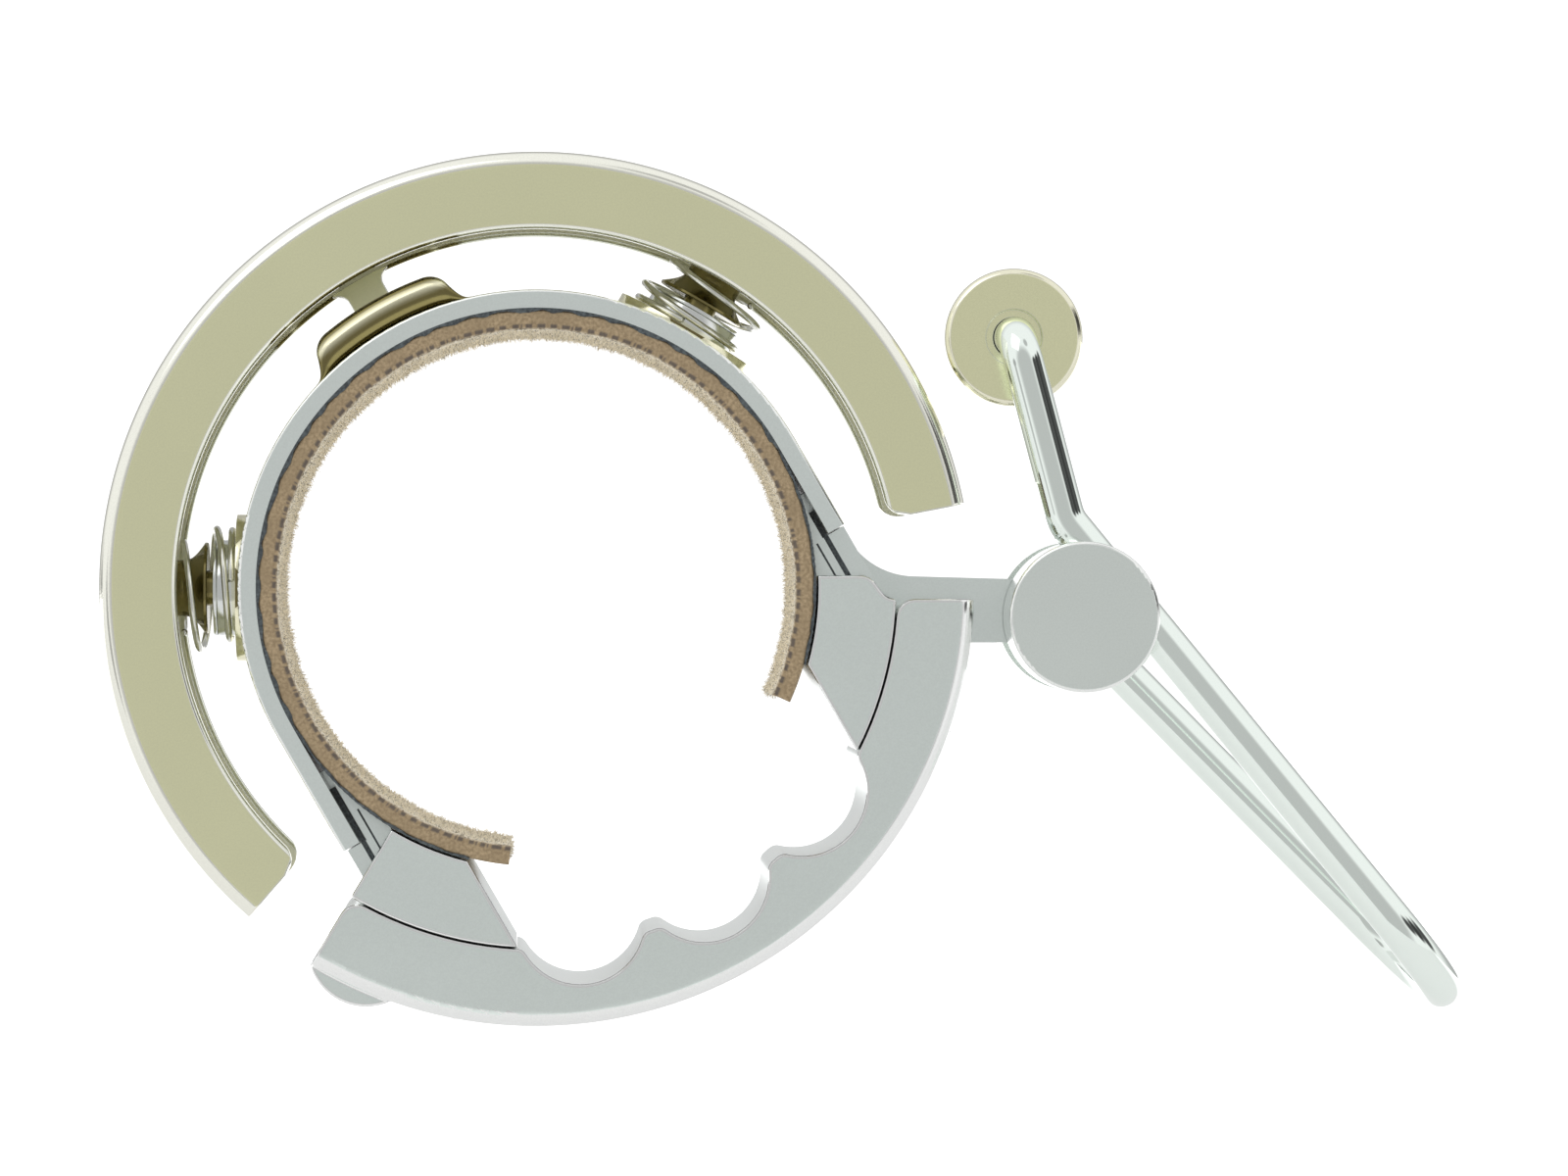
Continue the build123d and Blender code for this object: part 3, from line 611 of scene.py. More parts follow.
def cad_copy(name: str, node: str) -> bpy.types.Object:
    """Makes an object with a merged copy of a CAD node's mesh, flat parts joined into single faces.

    Args:
        name: the object's name.
        node: the CAD node.

    Returns:
        The object.
    """
    work = bmesh.new()
    work.from_mesh(frame["nodes"][node].data)
    bmesh.ops.remove_doubles(work, verts=work.verts, dist=0.002 * MM)
    bmesh.ops.dissolve_limit(work, angle_limit=math.radians(0.6), verts=work.verts, edges=work.edges)
    work.verts.index_update()
    vertices = [vertex.co.copy() for vertex in work.verts]
    faces = [[vertex.index for vertex in face.verts] for face in work.faces]
    work.free()
    return new_object(name, vertices, faces)


def soften(obj: bpy.types.Object, width: float, angle: float = 28.0,
           clamp: bool = True) -> bpy.types.Object:
    """Breaks an object's sharp edges and bakes them.

    Args:
        obj: the object.
        width: the edges' width in metres.
        angle: the least angle of a sharp edge, in degrees.
        clamp: whether short edges narrow the softened ones.

    Returns:
        The object.
    """
    bevel = obj.modifiers.new("edges", "BEVEL")
    bevel.width = width
    bevel.segments = 2
    bevel.limit_method = "ANGLE"
    bevel.angle_limit = math.radians(angle)
    bevel.use_clamp_overlap = clamp
    return bake(obj)


def loft(name: str, sections: list[list[Vector]], caps: bool = True) -> bpy.types.Object:
    """Skins closed sections of equal count.

    Args:
        name: the object's name.
        sections: rings of points along the form.
        caps: whether the ends are closed by one face each.

    Returns:
        The object.
    """
    count = len(sections[0])
    vertices = [point for section in sections for point in section]
    faces = []
    for row in range(len(sections) - 1):
        low, high = row * count, (row + 1) * count
        for i in range(count):
            j = (i + 1) % count
            faces.append((low + i, low + j, high + j, high + i))
    if caps:
        faces.append(tuple(range(count)))
        faces.append(tuple(reversed(range(len(vertices) - count, len(vertices)))))
    return new_object(name, vertices, faces)


def turned(name: str, axis: Vector, stations: list[tuple[float, float]],
           sides: int = 64) -> bpy.types.Object:
    """Turns a profile about an axis through the origin.

    Args:
        name: the object's name.
        axis: the axis.
        stations: distance along it and radius, station by station.
        sides: faces round it.

    Returns:
        The object.
    """
    turn = axis.to_track_quat("Z", "Y").to_matrix()
    angles = [math.tau * i / sides for i in range(sides)]
    sections = []
    for along, radius in stations:
        ring = [Vector((radius * math.cos(angle), radius * math.sin(angle), along)) for angle in angles]
        sections.append([turn @ point for point in ring])
    return loft(name, sections)


def tube_along(name: str, path: list[Vector], radius: float, sides: int) -> bpy.types.Object:
    """Skins a round tube of one radius along a path, with domed ends.

    Args:
        name: the object's name.
        path: points along the middle.
        radius: the tube's radius.
        sides: faces round it.

    Returns:
        The object.
    """
    last = len(path) - 1
    tangents = [(path[min(i + 1, last)] - path[max(i - 1, 0)]).normalized() for i in range(len(path))]
    angles = [math.tau * i / sides for i in range(sides)]
    side = tangents[0].orthogonal().normalized()
    sections = []
    for point, tangent in zip(path, tangents):
        side = (side - tangent * side.dot(tangent)).normalized()
        other = tangent.cross(side)
        sections.append([point + (side * math.cos(angle) + other * math.sin(angle)) * radius
                         for angle in angles])
    for end, outward in ((0, -tangents[0]), (-1, tangents[-1])):
        middle, ring = path[end], sections[end]
        dome = []
        for turn in (30.0, 55.0, 75.0):
            reach, narrow = math.sin(math.radians(turn)), math.cos(math.radians(turn))
            dome.append([middle + (point - middle) * narrow + outward * radius * 0.6 * reach
                         for point in ring])
        sections = dome[::-1] + sections if end == 0 else sections + dome
    return loft(name, sections)


def rounded_path(corners: list[Vector], radii: list[float], steps: int = 18) -> list[Vector]:
    """Points along straight runs joined by arcs.

    Args:
        corners: the path's ends and corners.
        radii: the arc's radius at each inner corner.
        steps: points along each arc.

    Returns:
        The path's points.
    """
    points = [corners[0]]
    for before, corner, after, radius in zip(corners, corners[1:], corners[2:], radii):
        back, ahead = (before - corner).normalized(), (after - corner).normalized()
        half = back.angle(ahead) / 2
        middle = corner + (back + ahead).normalized() * (radius / math.sin(half))
        start = corner + back * (radius / math.tan(half)) - middle
        axis = start.cross(corner + ahead * (radius / math.tan(half)) - middle).normalized()
        sweep = math.pi - 2 * half
        points += [middle + Matrix.Rotation(sweep * i / steps, 3, axis) @ start for i in range(steps + 1)]
    return points + [corners[-1]]


def wave(value: float, seed: float) -> float:
    """Smooth irregular value between -1 and 1 that repeats nowhere near.

    Args:
        value: how far along.
        seed: which wave.

    Returns:
        The value.
    """
    return (math.sin(value + seed) + math.sin(value * 2.17 + seed * 3.1) * 0.6
            + math.sin(value * 4.63 + seed * 7.7) * 0.35) / 1.95


# ---------------------------------------------------------------- studio

@dataclass(frozen=True)
class Lobe:
    """One soft round patch of the surroundings: where it is, its edge in degrees, and its level."""

    toward: tuple[float, float, float]
    inner: float
    outer: float
    level: float
    weight: float = 1.0


LOBES = (
    Lobe((0.0, -1.0, 0.0), 26.0, 52.0, 0.53),
    Lobe((0.0, 1.0, 0.0), 25.0, 75.0, 0.45),
    Lobe((0.80, -0.56, 0.21), 5.0, 13.0, 0.07),
    Lobe((0.934, -0.26, 0.245), 7.0, 14.0, 0.05),
    Lobe((0.963, 0.087, 0.253), 7.0, 15.0, 0.08),
    Lobe((-0.909, 0.342, -0.239), 10.0, 22.0, 0.12),
    Lobe((-0.85, -0.5, -0.1), 4.0, 11.0, 0.2, 0.7),
    Lobe((0.62, -0.35, -0.70), 5.0, 15.0, 0.1),
    Lobe((0.45, 0.15, -0.88), 6.0, 16.0, 0.12),
    Lobe((0.3, -0.5, 0.8), 4.0, 12.0, 0.3, 0.7),
    Lobe((0.03, 1.0, 0.0), 12.0, 15.0, 1.2),
)


@dataclass(frozen=True)
class Studio:
    """Camera, plain pale floor and soft light."""

    distance: float = 0.448
    aside_deg: float = -1.98
    lens: float = 164.3
    floor_z: float = -0.06
    floor_near: float = -0.1
    floor_span: float = 3.0
    base: float = 0.93
    key_energy: float = 0.5
    key_size: float = 0.5
    key_place: tuple[float, float, float] = (-0.35, -0.35, 0.55)

    def build(self) -> None:
        """Makes everything round the bell."""
        scene = bpy.context.scene
        scene.view_settings.view_transform = "Standard"
        scene.view_settings.look = "None"
        self.camera()
        self.floor()
        self.world()
        self.key_light()

    def camera(self) -> None:
        """Makes the camera, on the bar's axis."""
        data = bpy.data.cameras.new("camera")
        data.lens = self.lens
        data.sensor_width = 36.0
        data.clip_start = 0.01
        data.dof.use_dof = False
        camera = bpy.data.objects.new("camera", data)
        camera.location = (0.0, -self.distance, 0.0)
        camera.rotation_euler = (math.radians(90.0), 0.0, math.radians(self.aside_deg))
        bpy.context.scene.collection.objects.link(camera)
        bpy.context.scene.camera = camera

    def floor(self) -> None:
        """Makes a pale floor that glows a little, so that it stays plain."""
        near, span = self.floor_near, self.floor_span
        outline = ((-span, near), (span, near), (span, span), (-span, span))
        corners = [(x, y, self.floor_z) for x, y in outline]
        obj = new_object("floor", corners, [(0, 1, 2, 3)])
        material = bpy.data.materials.new("floor")
        material.use_nodes = True
        shader = material.node_tree.nodes["Principled BSDF"]
        graph = Graph(material.node_tree)
        place = graph.add("ShaderNodeTexCoord").outputs["Object"]
        depth = graph.add("ShaderNodeSeparateXYZ", {0: place}).outputs["Y"]
        glow = graph.remap(depth, 0.1, 0.25, 0.2, 1.0)
        for label, value in (("Base Color", (0.75, 0.75, 0.75, 1.0)), ("Roughness", 0.8),
                             ("Emission Color", (1.0, 1.0, 1.0, 1.0)), ("Emission Strength", glow)):
            graph.feed(shader.inputs[label], value)
        obj.data.materials.append(material)

    def world(self) -> None:
        """Makes pale surroundings: grey on the near side, darker round the far side, white behind."""
        world = bpy.data.worlds.new("studio")
        world.use_nodes = True
        bpy.context.scene.world = world
        graph = Graph(world.node_tree)
        background = world.node_tree.nodes["Background"]
        ray = graph.add("ShaderNodeTexCoord").outputs["Generated"]
        level = self.base
        for lobe in LOBES:
            along = graph.add("ShaderNodeVectorMath", {0: ray, 1: Vector(lobe.toward).normalized()},
                              operation="DOT_PRODUCT").outputs["Value"]
            share = graph.remap(along, math.cos(math.radians(lobe.outer)), math.cos(math.radians(lobe.inner)),
                                0.0, lobe.weight, curve="SMOOTHERSTEP")
            change = graph.math("MULTIPLY", share, graph.math("SUBTRACT", lobe.level, level))
            level = graph.math("ADD", level, change)
        tone = graph.add("ShaderNodeCombineColor", {"Red": level, "Green": level, "Blue": level})
        graph.feed(background.inputs["Color"], tone.outputs[0])

    def key_light(self) -> None:
        """Makes a soft area light, above and to the left of the near side."""
        data = bpy.data.lights.new("key", "AREA")
        data.energy = self.key_energy
        data.size = self.key_size
        light = bpy.data.objects.new("key", data)
        light.location = self.key_place
        light.rotation_euler = (-light.location).to_track_quat("-Z", "Y").to_euler()
        bpy.context.scene.collection.objects.link(light)


# ---------------------------------------------------------------- bell

EDGES = {
    "upper_strap": 0.14, "left_lug": 0.2, "arm_bracket": 0.24, "saddle_shell": 0.2,
    "left_jaw": 0.2, "right_jaw": 0.2, "hammer_head": 0.06, "drum_near": 0.16, "drum_far": 0.16,
    "left_clamp_screw": 0.1, "right_clamp_screw": 0.1, "pivot_bush": 0.08,
    "left_mount_base": 0.06, "right_mount_base": 0.06, "left_mount_ferrule": 0.06,
    "right_mount_ferrule": 0.06, "left_mount_cover": 0.06, "right_mount_cover": 0.06,
}
WIDE_EDGES = {"saddle_shell", "left_jaw", "right_jaw"}


@dataclass
class CadPieces:
    """Pieces whose CAD shape is right: refined copies with softened edges."""

    palette: Palette

    def build(self) -> None:
        """Makes a refined copy of every node listed in EDGES."""
        for node, width in EDGES.items():
            obj = cad_copy(f"{node}_shown", node)
            obj = soften(obj, width * MM, clamp=node not in WIDE_EDGES)
            Piece(obj, (node,), self.palette).finish()
            LOG.info("%s: %d faces", node, len(obj.data.polygons))


@dataclass
class Ring:
    """Bell ring of channel section, turned about the bar's axis, with its guide tab; sizes in mm."""

    palette: Palette
    inner: float = 22.2
    outer: float = 27.0
    half_width: float = 6.0
    wall: float = 1.2
    lip_round: float = 0.4
    outer_round: float = 1.0
    half_arc: float = 108.9
    end_corner: float = 1.3
    edge: float = 0.1
    steps: int = 540
    tab_half: float = 1.25
    tab_root: float = 0.75
    tab_tip: float = 19.0
    tab_near: float = 4.82
    tab_far: float = 5.85
    tab_edge: float = 0.08

    def build(self) -> None:
        """Makes the ring and its tab."""
        outside = self.outside()
        inside = self.inside(len(outside))
        section = outside + inside
        rows = [[self.place(radius, y, 2 * step / self.steps - 1) for radius, y in section]
                for step in range(self.steps + 1)]
        obj = loft("bell_ring_shown", rows, caps=False)
        self.close_end(obj, len(outside), 0)
        self.close_end(obj, len(outside), self.steps)
        obj = soften(obj, self.edge * MM, angle=50.0)
        Piece(obj, ("bell_ring",), self.palette).finish(angle=40.0)
        # faces inside the channel get the ring's paler non-metal wall colour: painted light in the channel's shade
        set_faces(obj, "wall", [self.in_channel(face) for face in obj.data.polygons])
        self.tab()

    def outside(self) -> list[tuple[float, float]]:
        """Outer side of the section, from the near lip's edge round the web to the far lip's edge.

        Returns:
            Points as (radius, y).
        """
        lip, edge, near = self.lip_round, self.outer_round, -self.half_width
        points = []
        for turn in range(0, 91, 15):
            angle = math.radians(turn)
            points.append((self.inner + lip - lip * math.cos(angle), near + lip - lip * math.sin(angle)))
        points += [(23.6, near), (24.8, near)]
        for turn in range(0, 91, 10):
            angle = math.radians(turn)
            points.append((self.outer - edge + edge * math.sin(angle), near + edge - edge * math.cos(angle)))
        points += [(self.outer, y) for y in (-2.5, 0.0)]
        return points + [(radius, -y) for radius, y in reversed(points[:-1])]

    def inside(self, count: int) -> list[tuple[float, float]]:
        """Inner side of the section, back from the far lip's edge.

        Args:
            count: how many points the outer side has; this side gets as many.

        Returns:
            Points as (radius, y).
        """
        lip, floor = self.lip_round, self.half_width - self.wall
        half = []
        for turn in range(0, 91, 15):
            angle = math.radians(turn)
            half.append((self.inner + lip - lip * math.cos(angle), -floor - lip + lip * math.sin(angle)))
        web = self.outer - self.wall
        spare = (count - 1) // 2 - len(half)
        reach = web - self.inner - lip
        half += [(self.inner + lip + reach * (i + 1) / (spare - 1), -floor) for i in range(spare - 1)]
        half += [(web, -2.4)]
        whole = half + [(web, 0.0)] + [(radius, -y) for radius, y in reversed(half)]
        return whole[::-1]

    def place(self, radius: float, y: float, share: float) -> Vector:
        """Point of the ring, with the inner corners of its ends rounded.

        Args:
            radius: distance from the bar's axis.
            y: place along the bar.
            share: place along the arc, from -1 to 1.

        Returns:
            The point.
        """
        depth = max(self.end_corner - (radius - self.inner), 0.0)
        cut = self.end_corner - math.sqrt(max(self.end_corner ** 2 - depth ** 2, 0.0))
        reach = self.half_arc - math.degrees(cut / radius)
        return DATUM.polar(radius * MM, 90.0 + share * reach, y * MM)

    @staticmethod
    def close_end(obj: bpy.types.Object, half: int, row: int) -> None:
        """Closes one end of the ring with faces between the section's two sides.

        Args:
            obj: the ring.
            half: points on each side of the section.
            row: the section's number.
        """
        work = bmesh.new()
        work.from_mesh(obj.data)
        work.verts.ensure_lookup_table()
        first = row * half * 2
        for i in range(half - 1):
            corners = [first + i, first + i + 1, first + 2 * half - 2 - i, first + 2 * half - 1 - i]
            work.faces.new([work.verts[index] for index in corners])
        bmesh.ops.recalc_face_normals(work, faces=work.faces)
        work.to_mesh(obj.data)
        work.free()

    def in_channel(self, face: bpy.types.MeshPolygon) -> float:
        """Tells whether a face is inside the channel.

        Args:
            face: the face.

        Returns:
            1 for a face inside, or else 0.
        """
        radius = math.hypot(face.center.x, face.center.z) / MM
        floor = (self.half_width - self.wall + 0.02) * MM
        return float(abs(face.center.y) < floor and radius < self.outer - self.wall + 0.02)

    def tab(self) -> None:
        """Makes the tab on the far lip."""
        half, root, tip = self.tab_half, self.tab_root, self.tab_tip
        side = []
        for turn in range(0, 91, 10):
            angle = math.radians(turn)
            side.append((half + root - root * math.sin(angle),
                         self.inner + 0.03 - root + root * math.cos(angle)))
        outline = [(half + root, self.inner + 0.5)] + side + [(half, tip + 0.15), (half - 0.15, tip)]
        outline += [(-across, up) for across, up in reversed(outline)]
        rows = [[DATUM.spot(across * MM, up * MM, y * MM) for across, up in outline]
                for y in (self.tab_near, self.tab_far)]
        obj = soften(loft("ring_tab", rows), self.tab_edge * MM, angle=50.0)
        Piece(obj, ("bell_ring",), self.palette).finish()


@dataclass
class Keeper:
    """Half-round bridge over the tab, whose ends flare down to the strap; sizes in mm."""

    palette: Palette
    half_width: float = 7.0
    half_length: float = 5.9
    strap: float = 18.36
    top: float = 20.4
    corner: float = 1.5
    shoulder: float = 4.75
    flare: float = 1.25
    foot: float = 0.04
    steps: int = 140
    slot_half: float = 1.6
    # where up the near side the painted highlight is brightest, and how far it reaches each way, as shares of the
    # height
    crest: float = 0.66
    crest_half: float = 0.22

    def build(self) -> None:
        """Makes the bridge, cuts its slot and paints a highlight along its crest."""
        rows = []
        for step in range(self.steps + 1):
            across = -self.half_length + 2 * self.half_length * step / self.steps
            height = self.height(abs(across))
            turn = 90.0 - math.degrees(across / (self.strap + 1.0))
            rows.append([DATUM.polar(radius * MM, turn, y * MM) for radius, y in self.section(height)])
        obj = loft("tab_keeper_shown", rows)
        self.cut_slot(obj)
        Piece(obj, ("tab_keeper",), self.palette).finish(angle=50.0, rims=False)
        # the rim attribute here holds a painted highlight along the crest
        set_points(obj, "rim", [self.crest_highlight(vertex) for vertex in obj.data.vertices])

    def cut_slot(self, obj: bpy.types.Object) -> None:
        """Cuts the tab's slot through the bridge's far side.

        Args:
            obj: the bridge.
        """
        half, low, high = self.slot_half, self.strap + 0.01, self.top + 1.1
        corners = ((-half, low), (half, low), (half, high), (-half, high))
        rows = [[DATUM.spot(x * MM, z * MM, y * MM) for x, z in corners] for y in (4.5, 6.3)]
        cutter = loft("keeper_slot", rows)
        cut = obj.modifiers.new("slot", "BOOLEAN")
        cut.object = cutter
        cut.solver = "EXACT"
        bake(obj)
        bpy.data.objects.remove(cutter)

    def crest_highlight(self, vertex: bpy.types.MeshVertex) -> float:
        """How much painted highlight a point gets: most along the crest of the near side.

        Args:
            vertex: the point.

        Returns:
            A value from 0 to 1.
        """
        share = (math.hypot(vertex.co.x, vertex.co.z) / MM - self.strap) / (self.top - self.strap)
        return max(0.0, 1.0 - abs(share - self.crest) / self.crest_half) ** 1.2

    def height(self, across: float) -> float:
        """Height over the strap.

        Args:
            across: distance from the crown, along the strap.

        Returns:
            The height.
        """
        full, corner, end = self.top - self.strap, self.corner, self.shoulder
        if across < end - corner:
            return full
        if across < end - 0.12:
            return full - corner + math.sqrt(corner ** 2 - (across - end + corner) ** 2)
        low = full - corner + math.sqrt(corner ** 2 - (corner - 0.12) ** 2)
        share = min((across - end + 0.12) / self.flare, 1.0)
        return self.foot + (low - self.foot) * (1.0 - math.sin(share * math.pi / 2)) ** 1.3

    def section(self, height: float) -> list[tuple[float, float]]:
        """Section with half-round sides.

        Args:
            height: the section's height.

        Returns:
            Points as (radius, y).
        """
        radius = height / 2
        points = []
        for turn in range(-90, 91, 10):
            angle = math.radians(turn)
            points.append((self.strap + radius + radius * math.sin(angle),
                           -self.half_width + radius - radius * math.cos(angle)))
        return points + [(along, -y) for along, y in reversed(points)]


@dataclass
class Striker:
    """Wire of the striker, as one smooth tube; places from the pivot as (x, z), in mm."""

    palette: Palette
    radius: float = 1.25
    side: float = 6.2
    head: tuple[float, float] = (-4.0, 17.38)
    elbow: tuple[float, float] = (-1.0, 5.98)
    tip: tuple[float, float] = (23.0, -23.32)
    socket: float = 2.5
    stop: float = 1.75
    bends: tuple[float, ...] = (1.8, 2.6, 6.1, 6.1)

    def build(self) -> None:
        """Makes the wire from the hammer to its far end in the drum."""
        head, elbow, tip = (DATUM.pivot + Vector((x * MM, 0.0, z * MM))
                            for x, z in (self.head, self.elbow, self.tip))
        near, far = Vector((0.0, -self.side * MM, 0.0)), Vector((0.0, self.side * MM, 0.0))
        stop = DATUM.pivot + (tip - DATUM.pivot).normalized() * self.stop * MM
        corners = [head + Vector((0.0, self.socket * MM, 0.0)), head + near, elbow + near,
                   tip + near, tip + far, stop + far]
        path = rounded_path(corners, [value * MM for value in self.bends])
        obj = tube_along("striker_wire_shown", path, self.radius * MM, sides=48)
        Piece(obj, ("striker_wire",), self.palette).finish(angle=60.0)


@dataclass
class Liner:
    """Leather liner with a raw cut edge, its suede nap, the glue round it and dark strips of painted shade by the
    lugs; sizes in mm.
    """

    palette: Palette
    rng: random.Random = field(default_factory=lambda: random.Random(11))
    inner: float = 15.9
    outer: float = 17.1
    half_width: float = 8.0
    half_arc: float = 144.3
    steps: int = 800
    soft: float = 0.14
    dash_from: float = 15.95
    dash_to: float = 16.3
    strap_inner: float = 17.23
    glue_half_arc: float = 136.0
    glue_steps: int = 900
    bond_half_arc: float = 88.0
    scallop: float = 0.19
    loose_scallop: float = 0.1
    lug_face: float = 5.4
    seam_depth: float = 0.8
    fibre_density: float = 14.0e6
    fibre_length: float = 0.52
    fibre_thickness: float = 0.034

    def build(self) -> None:
        """Makes the leather, the nap, the glue with the painted shade of its gap, and the strips of painted shade
        by the lugs.
        """
        leather = self.leather()
        self.nap(leather)
        self.glue_and_gap_shade()
        self.shade_strips()

    def profile(self) -> list[tuple[float, float, float]]:
        """Section of the leather, from the near face round the inner face.

        Returns:
            Points as (radius, y, nap).
        """
        near, far, soft = -self.half_width, self.half_width, self.soft
        thick, wide = self.outer - self.inner - 2 * soft, far - near - 2 * soft
        points = [(self.outer, near + soft, 0.0), (self.outer - soft, near, 0.0)]
        points += [(self.outer - soft - thick * i / 7, near, 0.0) for i in range(1, 8)]
        points += [(self.inner + soft * 0.3, near + soft * 0.3, 0.4), (self.inner, near + soft, 0.9)]
        points += [(self.inner, near + soft + wide * i / 30, 1.0) for i in range(1, 31)]
        points += [(self.inner + soft * 0.3, far - soft * 0.3, 0.6)]
        points += [(self.inner + soft + thick * i / 4, far, 0.0) for i in range(5)]
        points += [(self.outer, far - soft, 0.0)]
        points += [(self.outer, far - soft - wide * i / 6, 0.0) for i in range(1, 6)]
        return points

    def leather(self) -> bpy.types.Object:
        """Makes the leather as a lofted band with a slightly uneven surface.

        Returns:
            The leather.
        """
        profile = self.profile()
        lumps = [self.rng.uniform(-1.0, 1.0) for _ in range((self.steps + 1) * len(profile))]
        sections, nap, dash = [], [], []
        for step in range(self.steps + 1):
            turn = 90.0 - self.half_arc + 2 * self.half_arc * step / self.steps
            section = []
            for index, (radius, y, fibre) in enumerate(profile):
                lump = lumps[step * len(profile) + index]
                wander = wave(turn * 0.55, radius + y * 0.1)
                near_face = y <= -self.half_width + 0.15
                inward = (0.035 * lump + 0.03 * wander) * (fibre > 0.3)
                depth = (0.022 * lump + 0.02 * wander) * near_face
                section.append(DATUM.polar((radius + inward) * MM, turn, (y + abs(depth)) * MM))
                nap.append(fibre)
                on_line = near_face and self.dash_from < radius < self.dash_to
                dash.append(float(on_line and wave(turn * 2.3, 4.0) > -0.12))
            sections.append(section)
        obj = loft("leather_liner_shown", sections)
        set_points(obj, "nap", nap)
        set_points(obj, "dash", dash)
        return Piece(obj, ("leather_liner",), self.palette).finish(angle=50.0, rims=False)

    def nap(self, leather: bpy.types.Object) -> None:
        """Makes the suede's fibres on the leather's inner face.

        Args:
            leather: the leather.
        """
        obj = bpy.data.objects.new("suede_nap", leather.data.copy())
        bpy.context.scene.collection.objects.link(obj)
        modifier = obj.modifiers.new("nap", "NODES")
        modifier.node_group = nap_group()
        values = {"Density": self.fibre_density, "Length": self.fibre_length * MM,
                  "Thickness": self.fibre_thickness * MM, "Seed": 3,
                  "Material": self.palette[Slot.LEATHER]}
        for item in modifier.node_group.interface.items_tree:
            if item.item_type == "SOCKET" and item.in_out == "INPUT" and item.name in values:
                modifier[item.identifier] = values[item.name]
        bake(obj)
        fibres = obj.data.attributes.get("nap") or obj.data.attributes.new("nap", "FLOAT", "POINT")
        fibres.data.foreach_set("value", [1.0] * len(fibres.data))
        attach(obj, BODY_OF["leather_liner"])
        LOG.info("nap: %d faces", len(obj.data.polygons))

    def shade_strips(self) -> None:
        """Makes thin dark strips in the grooves between the strap's legs and the lugs: painted shade, in the
        glue's finish.
        """
        # each strip is painted shade in its groove
        near, deep = -self.lug_face - 0.03, -self.lug_face + self.seam_depth
        for side, reach in ((-1, 10.4), (1, 9.6)):
            for low, high, start, name in ((16.93, 17.25, 4.4, "seam"), (16.33, 16.45, 6.3, "tongue_shade_strip")):
                corners = [(side * low, -start), (side * high, -start),
                           (side * high, -reach), (side * low, -reach)]
                rows = [[DATUM.spot(x * MM, z * MM, y * MM) for x, z in corners] for y in (near, deep)]
                obj = loft(f"{name}_{'left' if side < 0 else 'right'}", rows)
                Piece(obj, ("liner_bond",), self.palette).finish(rims=False)

    def glue_and_gap_shade(self) -> None:
        """Makes the ragged dark glue line, with a thin lip over the leather's near face; the dark lip is partly
        glue and partly painted shade of the gap between leather and strap.
        """
        near, back = -self.half_width, self.half_width - 0.2
        sections = []
        for step in range(self.glue_steps + 1):
            turn = 90.0 - self.glue_half_arc + 2 * self.glue_half_arc * step / self.glue_steps
            bump = abs(math.sin(turn * 0.47 + 0.8 * wave(turn * 0.21, 1.7)))
            fine = 0.5 + 0.5 * wave(turn * 3.7, 5.1)
            bonded = abs(turn - 90.0) < self.bond_half_arc
            reach = self.scallop if bonded else self.loose_scallop
            lip = self.outer + 0.02 - reach * bump ** 1.6 - 0.03 * fine
            deep = back if bonded else near + 0.9
            outer = self.strap_inner - (0.0 if bonded else 0.05 * fine)
            section = [(outer, deep), (outer, near - 0.03), (lip + 0.05, near - 0.05), (lip, near - 0.02),
                       (lip, near + 0.02), (self.outer, near + 0.02), (self.outer, deep)]
            sections.append([DATUM.polar(radius * MM, turn, y * MM) for radius, y in section])
        obj = loft("gap_shade_glue_shown", sections)
        Piece(obj, ("liner_bond",), self.palette).finish(angle=60.0, rims=False)


